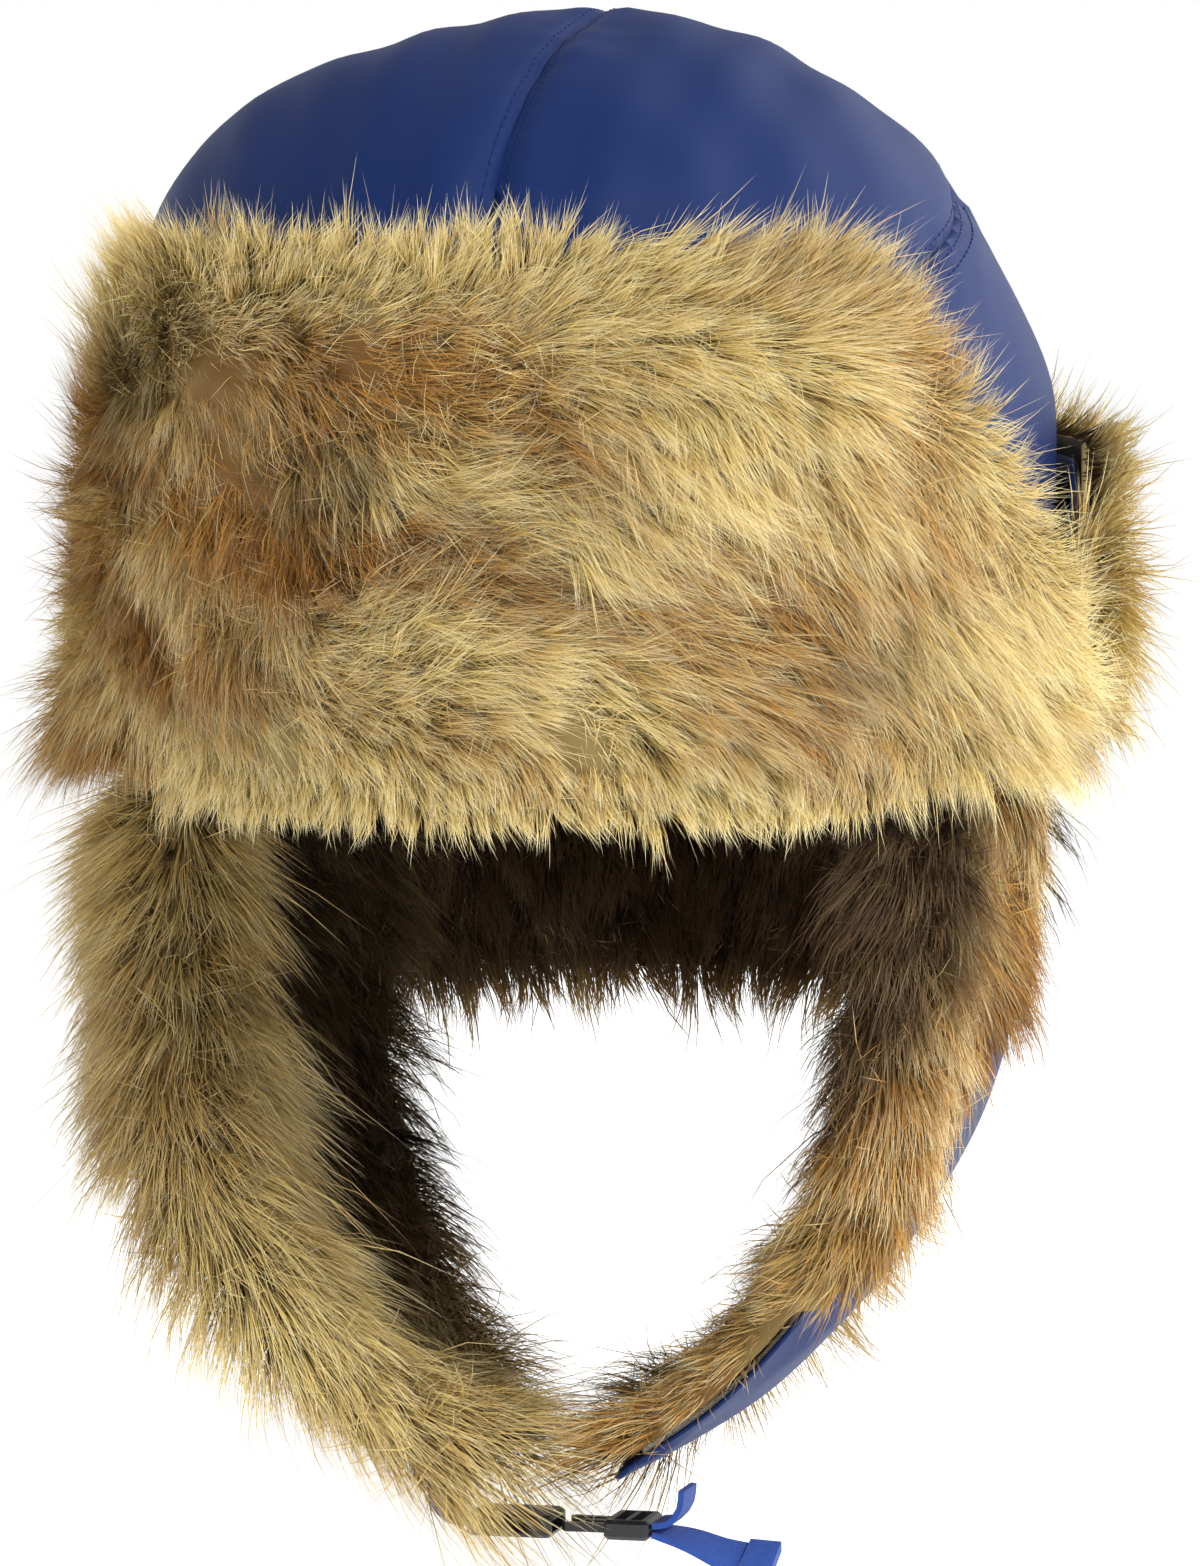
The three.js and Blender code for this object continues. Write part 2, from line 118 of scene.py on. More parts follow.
def soft_lamp(name, place, size, power):
    data = bpy.data.lights.new(name, "AREA")
    data.size = size
    data.energy = power
    lamp = bpy.data.objects.new(name, data)
    lamp.location = place
    lamp.rotation_euler = Vector(place).to_track_quat("Z", "Y").to_euler()
    bpy.context.scene.collection.objects.link(lamp)


soft_lamp("key_lamp", (1.25, -0.75, 1.15), 0.6, 28)
soft_lamp("fill_lamp", (-1.3, -1.1, 0.3), 1.2, 4)
soft_lamp("back_lamp", (0.9, 1.3, 0.9), 1.0, 9)

# The studio wall is white near the horizon and dim overhead.
world = bpy.data.worlds.new("studio")
world.use_nodes = True
world_nodes, world_links = world.node_tree.nodes, world.node_tree.links
world_way = world_nodes.new("ShaderNodeTexCoord")
world_height = world_nodes.new("ShaderNodeSeparateXYZ")
world_fall = world_nodes.new("ShaderNodeMapRange")
world_fall.interpolation_type = "SMOOTHSTEP"
world_fall.inputs["From Min"].default_value = 0.08
world_fall.inputs["From Max"].default_value = 0.45
world_fall.inputs["To Min"].default_value = 1.0
world_fall.inputs["To Max"].default_value = 0.3
world_links.new(world_way.outputs["Generated"], world_height.inputs["Vector"])
world_links.new(world_height.outputs["Z"], world_fall.inputs["Value"])
world_links.new(world_fall.outputs["Result"], world_nodes["Background"].inputs["Strength"])
world_nodes["Background"].inputs["Color"].default_value = (1, 1, 1, 1)
bpy.context.scene.world = world

FLOOR_HEIGHT = -0.186
FLOOR_REACH = 9
floor_mesh = bpy.data.meshes.new("floor")
floor_mesh.from_pydata(
    [(x * FLOOR_REACH, y * FLOOR_REACH, FLOOR_HEIGHT) for x, y in ((-1, -1), (1, -1), (1, 1), (-1, 1))],
    [], [(0, 1, 2, 3)],
)
floor = bpy.data.objects.new("floor", floor_mesh)
bpy.context.scene.collection.objects.link(floor)
floor_paint = bpy.data.materials.new("floor_paint")
floor_paint.use_nodes = True
floor_shader = floor_paint.node_tree.nodes["Principled BSDF"]
floor_shader.inputs["Base Color"].default_value = (0.8, 0.8, 0.8, 1)
floor_shader.inputs["Roughness"].default_value = 1.0
floor_shader.inputs["Specular IOR Level"].default_value = 0.0
floor_shader.inputs["Emission Color"].default_value = (1, 1, 1, 1)
floor_shader.inputs["Emission Strength"].default_value = 0.72
floor_mesh.materials.append(floor_paint)


# ------------------------------------------------------------ crown
# Four panels of blue nylon over light wadding. The seams pull in and pucker the cloth: one down
# the middle of the front, one over the top, and a double-stitched one forward from each temple.
MM = 0.001


def srgb(red, green, blue):
    """A colour given in display values from 0 to 255, as the linear one that shaders take."""
    channels = np.array([red, green, blue]) / 255
    return [*np.where(channels < 0.04045, channels / 12.92, ((channels + 0.055) / 1.055) ** 2.4), 1]


def soft_noise(points, scale, seed):
    """Smooth noise of unit spread, made of waves about scale long."""
    source = np.random.default_rng(seed)
    waves = source.normal(size=(24, 3)) * (4.0 / scale / 1.7)
    phases = source.uniform(0, 2 * math.pi, 24)
    return np.sin(points @ waves.T * 0.6 + phases).sum(1) / math.sqrt(12)


def smooth(x, low, high):
    t = np.clip((x - low) / (high - low), 0, 1)
    return t * t * (3 - 2 * t)


def new_piece(name, points, faces, material, body=None):
    mesh = bpy.data.meshes.new(name)
    mesh.from_pydata([tuple(p) for p in points], [], faces)
    mesh.update()
    mesh.shade_smooth()
    mesh.materials.append(material)
    piece = bpy.data.objects.new(name, mesh)
    bpy.context.scene.collection.objects.link(piece)
    if body:
        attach(piece, body)
    return piece


def grid_faces(columns, rows, closed=False, first=0):
    """Quads of a grid stored column by column, with rows + 1 points in each column."""
    faces = []
    last = columns if closed else columns - 1
    for i in range(last):
        a = first + i * rows
        b = first + ((i + 1) % columns) * rows
        faces += [(a + j, b + j, b + j + 1, a + j + 1) for j in range(rows - 1)]
    return faces


def thicken(piece, thickness):
    """Gives a cloth surface its thickness, on the side away from its normals."""
    solidify = piece.modifiers.new("thickness", "SOLIDIFY")
    solidify.thickness = thickness
    solidify.offset = -1
    evaluated = piece.evaluated_get(bpy.context.evaluated_depsgraph_get())
    piece.data = bpy.data.meshes.new_from_object(evaluated)
    piece.modifiers.clear()


def node_group(name, inputs, outputs):
    group = bpy.data.node_groups.new(name, "ShaderNodeTree")
    for label, kind, default in inputs:
        socket = group.interface.new_socket(label, in_out="INPUT", socket_type=kind)
        socket.default_value = default
    for label, kind in outputs:
        group.interface.new_socket(label, in_out="OUTPUT", socket_type=kind)
    return group, group.nodes.new("NodeGroupInput"), group.nodes.new("NodeGroupOutput")


def woven_cloth_group():
    """Fine crossed threads as a bump height, and a slow drift of the dye as a colour."""
    group, given, result = node_group(
        "woven cloth",
        [
            ("Colour", "NodeSocketColor", (0.5, 0.5, 0.5, 1)),
            ("Faded colour", "NodeSocketColor", (0.6, 0.6, 0.6, 1)),
            ("Threads per metre", "NodeSocketFloat", 2200.0),
            ("Drift scale", "NodeSocketFloat", 22.0),
        ],
        [("Colour", "NodeSocketColor"), ("Height", "NodeSocketFloat")],
    )
    nodes, links = group.nodes, group.links
    where = nodes.new("ShaderNodeTexCoord")
    height = None
    for direction in ("X", "Z"):
        wave = nodes.new("ShaderNodeTexWave")
        wave.bands_direction = direction
        wave.inputs["Distortion"].default_value = 1.2
        wave.inputs["Detail Scale"].default_value = 2.0
        links.new(where.outputs["Object"], wave.inputs["Vector"])
        links.new(given.outputs["Threads per metre"], wave.inputs["Scale"])
        if height is None:
            height = wave.outputs["Fac"]
            continue
        add = nodes.new("ShaderNodeMath")
        add.operation = "ADD"
        links.new(height, add.inputs[0])
        links.new(wave.outputs["Fac"], add.inputs[1])
        height = add.outputs[0]
    links.new(height, result.inputs["Height"])
    drift = nodes.new("ShaderNodeTexNoise")
    drift.inputs["Detail"].default_value = 4.0
    links.new(where.outputs["Object"], drift.inputs["Vector"])
    links.new(given.outputs["Drift scale"], drift.inputs["Scale"])
    mix = nodes.new("ShaderNodeMix")
    mix.data_type = "RGBA"
    links.new(drift.outputs["Fac"], mix.inputs["Factor"])
    links.new(given.outputs["Colour"], mix.inputs["A"])
    links.new(given.outputs["Faded colour"], mix.inputs["B"])
    links.new(mix.outputs["Result"], result.inputs["Colour"])
    return group


WOVEN = woven_cloth_group()


def cloth_material(name, colour, faded, threads, roughness, sheen, specular, bump):
    """Woven cloth, with threads in each metre and the strength of their bump."""
    material = bpy.data.materials.new(name)
    material.use_nodes = True
    nodes, links = material.node_tree.nodes, material.node_tree.links
    shader = nodes["Principled BSDF"]
    shader.inputs["Roughness"].default_value = roughness
    shader.inputs["Specular IOR Level"].default_value = specular
    shader.inputs["Sheen Weight"].default_value = sheen
    shader.inputs["Sheen Roughness"].default_value = 0.4
    weave = nodes.new("ShaderNodeGroup")
    weave.node_tree = WOVEN
    weave.inputs["Colour"].default_value = colour
    weave.inputs["Faded colour"].default_value = faded
    weave.inputs["Threads per metre"].default_value = threads
    links.new(weave.outputs["Colour"], shader.inputs["Base Color"])
    dent = nodes.new("ShaderNodeBump")
    dent.inputs["Strength"].default_value = bump
    dent.inputs["Distance"].default_value = 0.0002
    links.new(weave.outputs["Height"], dent.inputs["Height"])
    links.new(dent.outputs["Normal"], shader.inputs["Normal"])
    return material


NYLON = cloth_material("blue_nylon", srgb(18, 41, 92), srgb(23, 47, 102), 2400, 0.5, 0.0, 0.16, 0.25)
THREAD = cloth_material("blue_thread", srgb(14, 36, 94), srgb(20, 46, 108), 4000, 0.6, 0.0, 0.2, 0.2)

HALF_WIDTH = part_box("crown_rear_panel_left")[1].x
HALF_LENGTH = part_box("crown_rear_panel_left")[1].y
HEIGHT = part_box("crown_front_panel_right")[1].z
WALL = 6.5  # how upright the crown's walls are, as a power
ROOF = 1.2  # how pointed its top is
LEAN = 8.5 * MM  # how far the top sags to the wearer's right
LEAN_FROM, LEAN_FULL = 75 * MM, 115 * MM
TOP_SEAM_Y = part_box("crown_front_panel_left")[1].y
SIDE_SEAM_HEIGHT = 127 * MM
SIDE_SEAM_SLOPE = 0.28
CLOTH = 1.0 * MM  # thickness of the nylon


def dome_profile(rows):
    """Points (reach, rise) evenly spaced along the unit profile, from the brim to the top."""
    fine = np.linspace(0, math.pi / 2, 4000)
    reach = np.cos(fine).clip(0) ** (2 / ROOF)
    rise = np.sin(fine).clip(0) ** (2 / WALL)
    step = np.hypot(np.diff(reach), np.diff(rise) * 1.5)
    length = np.concatenate([[0], np.cumsum(step)])
    at = np.linspace(0, length[-1], rows)
    return np.interp(at, length, reach), np.interp(at, length, rise)


def crown_lean(z):
    """How far the crown stands to the wearer's right at a height."""
    share = (z / HEIGHT) ** 1.6
    return LEAN * 4 * share * (1 - share) * smooth(z, LEAN_FROM, LEAN_FULL)


def dome_points(columns, rows, inset):
    """The crown as a grid of points, at an inset from its outer face."""
    reach, rise = dome_profile(rows)
    angle = np.linspace(0, 2 * math.pi, columns, endpoint=False)[:, None]
    z = np.broadcast_to(rise * (HEIGHT - inset), (columns, rows))
    x = reach * np.sin(angle) * (HALF_WIDTH - inset) - crown_lean(z)
    y = -reach * np.cos(angle) * (HALF_LENGTH - inset)
    return np.stack([x, y, z], 2).reshape(-1, 3)


def seam_distances(p):
    """How far each point is from the middle, top and temple seams, where it lies near them."""
    past_end = 4 * MM
    slope = SIDE_SEAM_HEIGHT + SIDE_SEAM_SLOPE * (p[:, 1] - TOP_SEAM_Y)
    middle = np.abs(p[:, 0])
    over_top = np.where(p[:, 2] > SIDE_SEAM_HEIGHT - past_end, np.abs(p[:, 1] - TOP_SEAM_Y), 1)
    temple = np.where(p[:, 1] < TOP_SEAM_Y + past_end, np.abs(p[:, 2] - slope) * 0.94, 1)
    return middle, over_top, temple


def puckered(p):
    """Pulls the cloth in along its seams, with gathers across them, and adds slack folds between."""
    inward = np.array([0, 0, HEIGHT * 0.35]) - p
    inward /= np.linalg.norm(inward, axis=1)[:, None]
    middle, over_top, temple = seam_distances(p)
    near = np.minimum(np.minimum(middle, over_top), temple)
    groove = 1.7 * MM * np.exp(-((near / (3.2 * MM)) ** 2)) + 1.6 * MM * np.exp(-near / (13 * MM))
    along = np.where(near == middle, p[:, 1] - p[:, 2], p[:, 0] * 1.0 + p[:, 1] * 0.5)
    waves = np.sin(along / (2.3 * MM) + 2.5 * soft_noise(p, 30 * MM, 3))
    uneven = 0.5 + 0.5 * soft_noise(p, 22 * MM, 5)
    gathers = 0.4 * MM * np.exp(-near / (9 * MM)) * waves * uneven
    broad_folds = 0.8 * MM * soft_noise(p * [1, 1, 2.2], 42 * MM, 11)
    fine_folds = 0.35 * MM * soft_noise(p * [2.4, 1, 1], 18 * MM, 12)
    fade = smooth(p[:, 2], 0, 20 * MM)[:, None]
    return p + inward * (groove + gathers + broad_folds + fine_folds)[:, None] * fade


def cut_by(work, place, normal, keep_front=False, keep_behind=False):
    """Cuts a mesh by a plane, and keeps all of it or one side."""
    geometry = work.verts[:] + work.edges[:] + work.faces[:]
    bmesh.ops.bisect_plane(
        work, geom=geometry, plane_co=place, plane_no=normal, dist=1e-7,
        clear_inner=keep_front, clear_outer=keep_behind,
    )


CROWN_COLUMNS, CROWN_ROWS = 208, 74


def crown_panel(name, left, front):
    """One panel, cut from the whole crown along its seams, then puckered and thickened."""
    work = bmesh.new()
    made = [work.verts.new(p) for p in dome_points(CROWN_COLUMNS, CROWN_ROWS, 0)]
    for face in grid_faces(CROWN_COLUMNS, CROWN_ROWS, closed=True):
        work.faces.new([made[i] for i in face])
    bmesh.ops.remove_doubles(work, verts=work.verts[:], dist=1e-6)
    slope_normal = Vector((0, -SIDE_SEAM_SLOPE, 1)).normalized()
    corner = Vector((0, TOP_SEAM_Y, SIDE_SEAM_HEIGHT))
    cut_by(work, (0, 0, 0), (1, 0, 0), keep_front=left, keep_behind=not left)
    cut_by(work, corner, (0, 1, 0), keep_behind=front)
    cut_by(work, corner, slope_normal, keep_front=front)
    if not front:
        gone = []
        for face in work.faces:
            middle = face.calc_center_median()
            if middle.y < corner.y and (middle - corner).dot(slope_normal) > 0:
                gone.append(face)
        bmesh.ops.delete(work, geom=gone, context="FACES")
    work.normal_update()
    mesh = bpy.data.meshes.new(name)
    work.to_mesh(mesh)
    work.free()
    co = np.zeros(len(mesh.vertices) * 3)
    mesh.vertices.foreach_get("co", co)
    mesh.vertices.foreach_set("co", puckered(co.reshape(-1, 3)).ravel())
    mesh.update()
    mesh.shade_smooth()
    mesh.materials.append(NYLON)
    piece = bpy.data.objects.new(name, mesh)
    bpy.context.scene.collection.objects.link(piece)
    thicken(piece, CLOTH)
    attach(piece, "crown")
    return piece


for side in ("left", "right"):
    for part in ("front", "rear"):
        node = f"crown_{part}_panel_{side}"
        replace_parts(crown_panel(f"{node}_cloth", side == "left", part == "front"), node)


STITCH, STITCH_GAP, STITCH_RADIUS = 2.4 * MM, 0.9 * MM, 0.28 * MM
CROWN_MIDDLE = np.array([0, 0, 0.05])


def stitch_row(name, path):
    """Short raised stitches laid end to end along a path of points on the crown."""
    step = np.linalg.norm(np.diff(path, axis=0), axis=1)
    at = np.concatenate([[0], np.cumsum(step)])
    sides = 5
    points, faces = [], []
    for start in np.arange(0, at[-1] - STITCH, STITCH + STITCH_GAP):
        places = [start, start + 0.5 * STITCH, start + STITCH]
        ends = np.stack([np.interp(places, at, path[:, k]) for k in range(3)], 1)
        along = ends[2] - ends[0]
        along /= np.linalg.norm(along)
        across = np.cross(along, ends[1] - CROWN_MIDDLE)
        across /= np.linalg.norm(across)
        out = np.cross(across, along)
        first = len(points)
        for middle, share in zip(ends, (0.45, 1.0, 0.45)):
            for turn in range(sides):
                a = turn * 2 * math.pi / sides
                radius = STITCH_RADIUS * share
                points.append(middle + (across * math.cos(a) + out * math.sin(a)) * radius)
        for ring in (0, 1):
            for turn in range(sides):
                a, b = first + ring * sides + turn, first + ring * sides + (turn + 1) % sides
                faces.append((a, b, b + sides, a + sides))
        faces.append(tuple(first + k for k in reversed(range(sides))))
        faces.append(tuple(first + 2 * sides + k for k in range(sides)))
    return new_piece(name, points, faces, THREAD, "crown")


def on_crown(x, y, z):
    """Points of the smooth crown, moved to where the puckered cloth has them."""
    return puckered(np.stack(np.broadcast_arrays(x, y, z), 1))


def crown_at(x, y):
    """Height of the crown over points of its plan."""
    z = np.full(len(y), HEIGHT * 0.9)
    for _ in range(40):
        reach = ((x + crown_lean(z)) / HALF_WIDTH) ** 2 + (y / HALF_LENGTH) ** 2
        z = 0.5 * z + 0.5 * HEIGHT * (1 - np.clip(reach, 0, 0.9999) ** (ROOF / 2)) ** (1 / WALL)
    return z


FROM_SEAM = 2.4 * MM
front_y = np.linspace(-106 * MM, TOP_SEAM_Y, 160)
for side, x in (("left", FROM_SEAM), ("right", -FROM_SEAM)):
    across = np.full(len(front_y), x)
    stitch_row(f"front_seam_stitches_{side}", on_crown(across, front_y, crown_at(across, front_y)))

top_x = np.linspace(-88 * MM, 78 * MM, 200)
for part, y in (("front", TOP_SEAM_Y - FROM_SEAM), ("rear", TOP_SEAM_Y + FROM_SEAM)):
    ahead = np.full(len(top_x), y)
    height = crown_at(top_x, ahead)
    stitch_row(f"top_seam_stitches_{part}", on_crown(top_x, ahead, height)[height > SIDE_SEAM_HEIGHT])

temple_y = np.linspace(TOP_SEAM_Y, -100 * MM, 140)
for side, sign in (("left", 1), ("right", -1)):
    for line, above in (("upper", 2.2 * MM), ("lower", -2.2 * MM), ("lowest", -5.2 * MM)):
        z = SIDE_SEAM_HEIGHT + SIDE_SEAM_SLOPE * (temple_y - TOP_SEAM_Y) + above
        reach = (1 - (z / HEIGHT) ** WALL) ** (2 / ROOF) - (temple_y / HALF_LENGTH) ** 2
        x = sign * HALF_WIDTH * np.sqrt(np.clip(reach, 0, 1)) - crown_lean(z)
        stitch_row(f"temple_seam_stitches_{side}_{line}", on_crown(x, temple_y, z)[reach > 0.02])


# ------------------------------------------------------------ crown wadding, lining and sweatband
# Light white fill lies between the nylon and a dark lining. The sweatband is a doubled band of the
# lining cloth, sewn in at the brim, and a narrow nylon binding closes the edge.
LINING = cloth_material("dark_lining", srgb(26, 24, 28), srgb(38, 34, 38), 1800, 0.55, 0.1, 0.3, 0.3)
WADDING = cloth_material(
    "white_wadding", srgb(232, 230, 222), srgb(214, 212, 204), 600, 0.95, 0.2, 0.2, 0.8,
)


def dome_layer(name, outer_inset, inner_inset, material):
    """A closed layer inside the crown, between two insets from the nylon's outer face."""
    columns, rows = 96, 30
    outer = dome_points(columns, rows, outer_inset)
    inner = dome_points(columns, rows, inner_inset)
    count = len(outer)
    faces = grid_faces(columns, rows, closed=True)
    faces += [tuple(count + i for i in reversed(face)) for face in faces]
    for i in range(columns):
        a, b = i * rows, ((i + 1) % columns) * rows
        faces.append((b, a, count + a, count + b))
    piece = new_piece(name, np.concatenate([outer, inner]), faces, material)
    work = bmesh.new()
    work.from_mesh(piece.data)
    bmesh.ops.remove_doubles(work, verts=work.verts[:], dist=1e-6)
    work.to_mesh(piece.data)
    work.free()
    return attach(piece, "crown")


wadding = dome_layer("crown_padding_fill", 5.6 * MM, 9.0 * MM, WADDING)
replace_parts(wadding, "crown_padding")
lining = dome_layer("crown_lining_cloth", 9.8 * MM, 11.0 * MM, LINING)
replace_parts(lining, "crown_lining")


def oval_band(name, section, ripple, material):
    """A closed band round the brim. section is a loop of (inset, height) points."""
    columns = 160
    angle = np.linspace(0, 2 * math.pi, columns, endpoint=False)
    points = []
    for a in angle:
        for inset, z in section:
            drift = ripple * math.sin(23 * a + 4 * math.sin(3 * a))
            points.append((
                (HALF_WIDTH - inset - drift) * math.sin(a),
                -(HALF_LENGTH - inset - drift) * math.cos(a),
                z,
            ))
    rows = len(section)
    faces = []
    for i in range(columns):
        a, b = i * rows, ((i + 1) % columns) * rows
        for j in range(rows):
            k = (j + 1) % rows
            faces.append((a + j, a + k, b + k, b + j))
    return new_piece(name, points, faces, material, "crown")


def rounded_section(inset_low, inset_high, low, high, turn):
    """The corners of a flat band's cross-section, rounded by turn."""
    return [
        (inset_low + turn, low), (inset_high - turn, low), (inset_high, low + turn),
        (inset_high, high - turn), (inset_high - turn, high), (inset_low + turn, high),
        (inset_low, high - turn), (inset_low, low + turn),
    ]


sweatband = oval_band(
    "sweatband_cloth", rounded_section(13.0 * MM, 14.6 * MM, 1 * MM, 27 * MM, 0.5 * MM),
    0.25 * MM, LINING,
)
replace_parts(sweatband, "sweatband")
binding = oval_band(
    "brim_binding_tape", rounded_section(0.6 * MM, 13.0 * MM, -2.4 * MM, -0.4 * MM, 0.8 * MM),
    0.1 * MM, NYLON,
)
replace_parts(binding, "brim_binding")


# ------------------------------------------------------------ front flap
# A stiffened nylon flap, faced with long faux fur and tacked up against the crown. The pile is
# combed across the middle, stands up over the top edge and falls over the lower edge.
def fur_colour_group():
    """Hair colour from root to tip, by how warm and how dark its lock is, mixed towards dark by painted
    shade.
    """
    group, given, result = node_group(
        "fur colour",
        [
            ("Along hair", "NodeSocketFloat", 0.5),
            ("Warmth", "NodeSocketFloat", 0.5),
            ("Darkness", "NodeSocketFloat", 0.0),
            ("Painted shade", "NodeSocketFloat", 0.0),
            ("Root", "NodeSocketColor", srgb(64, 45, 24)),
            ("Cream", "NodeSocketColor", srgb(228, 203, 128)),
            ("Gold", "NodeSocketColor", srgb(190, 136, 60)),
            ("Pale tip", "NodeSocketColor", srgb(252, 240, 192)),
            ("Brown tip", "NodeSocketColor", srgb(108, 62, 26)),
            ("Painted shade root", "NodeSocketColor", srgb(40, 28, 22)),
            ("Painted shade tip", "NodeSocketColor", srgb(112, 82, 56)),
        ],
        [("Colour", "NodeSocketColor")],
    )
    nodes, links = group.nodes, group.links

    def mixed(factor, a, b):
        mix = nodes.new("ShaderNodeMix")
        mix.data_type = "RGBA"
        links.new(factor, mix.inputs["Factor"])
        links.new(a, mix.inputs["A"])
        links.new(b, mix.inputs["B"])
        return mix.outputs["Result"]

    def stepped(value, low, high):
        ramp = nodes.new("ShaderNodeMapRange")
        ramp.interpolation_type = "SMOOTHSTEP"
        ramp.inputs["From Min"].default_value = low
        ramp.inputs["From Max"].default_value = high
        links.new(value, ramp.inputs["Value"])
        return ramp.outputs["Result"]

    along = given.outputs["Along hair"]
    body = mixed(given.outputs["Warmth"], given.outputs["Cream"], given.outputs["Gold"])
    tip = mixed(given.outputs["Darkness"], given.outputs["Pale tip"], given.outputs["Brown tip"])
    # The darker root is partly the fur's own dye and partly painted shade down in the pile.
    lower = mixed(stepped(along, 0.18, 0.66), given.outputs["Root"], body)
    whole = mixed(stepped(along, 0.6, 0.95), lower, tip)
    # Painted shade: hair in the hat's hollows is mixed towards dark brown in place of the shade there.
    shaded = mixed(stepped(along, 0.5, 1.0), given.outputs["Painted shade root"], given.outputs["Painted shade tip"])
    links.new(mixed(given.outputs["Painted shade"], whole, shaded), result.inputs["Colour"])
    return group


FUR = bpy.data.materials.new("long_fur")
FUR.use_nodes = True
fur_shader = FUR.node_tree.nodes["Principled BSDF"]
fur_shader.inputs["Roughness"].default_value = 0.65
fur_shader.inputs["Specular IOR Level"].default_value = 0.2
dye = FUR.node_tree.nodes.new("ShaderNodeGroup")
dye.node_tree = fur_colour_group()
for label, layer in (
    ("Along hair", "along"), ("Warmth", "warmth"),
    ("Darkness", "darkness"), ("Painted shade", "painted_shade"),
):
    stored = FUR.node_tree.nodes.new("ShaderNodeAttribute")
    stored.attribute_name = layer
    FUR.node_tree.links.new(stored.outputs["Fac"], dye.inputs[label])
FUR.node_tree.links.new(dye.outputs["Colour"], fur_shader.inputs["Base Color"])


def unit(v):
    """Vectors brought to length one."""
    return v / np.maximum(np.linalg.norm(v, axis=-1, keepdims=True), 1e-12)


def skin_frame(skin, u, v):
    """Points of a skin, their normals, unit vectors along u and v, and how far it is stretched."""
    e = 1e-3
    p = skin(u, v)
    du = skin(u + e, v) - skin(u - e, v)
    dv = skin(u, v + e) - skin(u, v - e)
    n = np.cross(du, dv)
    return p, unit(n), unit(du), unit(dv), np.linalg.norm(n, axis=1)


def scatter(skin, density, count, source):
    """count places on a skin, spread over its area by density, a rule from 0 to 1."""
    cells = 120
    middles = (np.arange(cells) + 0.5) / cells
    u, v = (grid.ravel() for grid in np.meshgrid(middles, middles))
    weight = skin_frame(skin, u, v)[4] * density(u, v)
    cell = source.choice(len(u), count, p=weight / weight.sum())
    jitter = source.uniform(-0.5, 0.5, (2, count)) / cells
    return u[cell] + jitter[0], v[cell] + jitter[1]


STEPS = (0, 0.3, 0.65, 1)  # shares of a hair's length at its root, its bends and its tip
TAPER = (1.0, 0.95, 0.62, 0.0)  # shares of its width there
SHORT_HAIRS = 0.25  # share of the hairs that are short and lie any way

# The box that hair stays in: the hat's own box, grown by a share of each side and a little more.
GROWN_SHARE, GROWN_MORE = 0.03, 9 * MM
SOFT_STOP = 6 * MM
box_low, box_high = np.array(bounds_at_load)
FUR_MIDDLE = (box_low + box_high) / 2
FUR_REACH = (box_high - box_low) * (0.5 + GROWN_SHARE) + GROWN_MORE


def kept_near(p):
    """Bends wayward hairs back inside the box, over its last few millimetres."""
    off = p - FUR_MIDDLE
    over = np.maximum(np.abs(off) - (FUR_REACH - SOFT_STOP), 0)
    return FUR_MIDDLE + np.sign(off) * (np.abs(off) - over + SOFT_STOP * np.tanh(over / SOFT_STOP))


def colour_layers(mesh, values):
    """Stores what the fur's dye needs on each point of a mesh."""
    for label, value in values.items():
        layer = mesh.attributes.new(label, "FLOAT", "POINT")
        layer.data.foreach_set("value", np.clip(value, 0, 1).astype(np.float32))


def even(u, v):
    """Hair as dense everywhere."""
    return 1


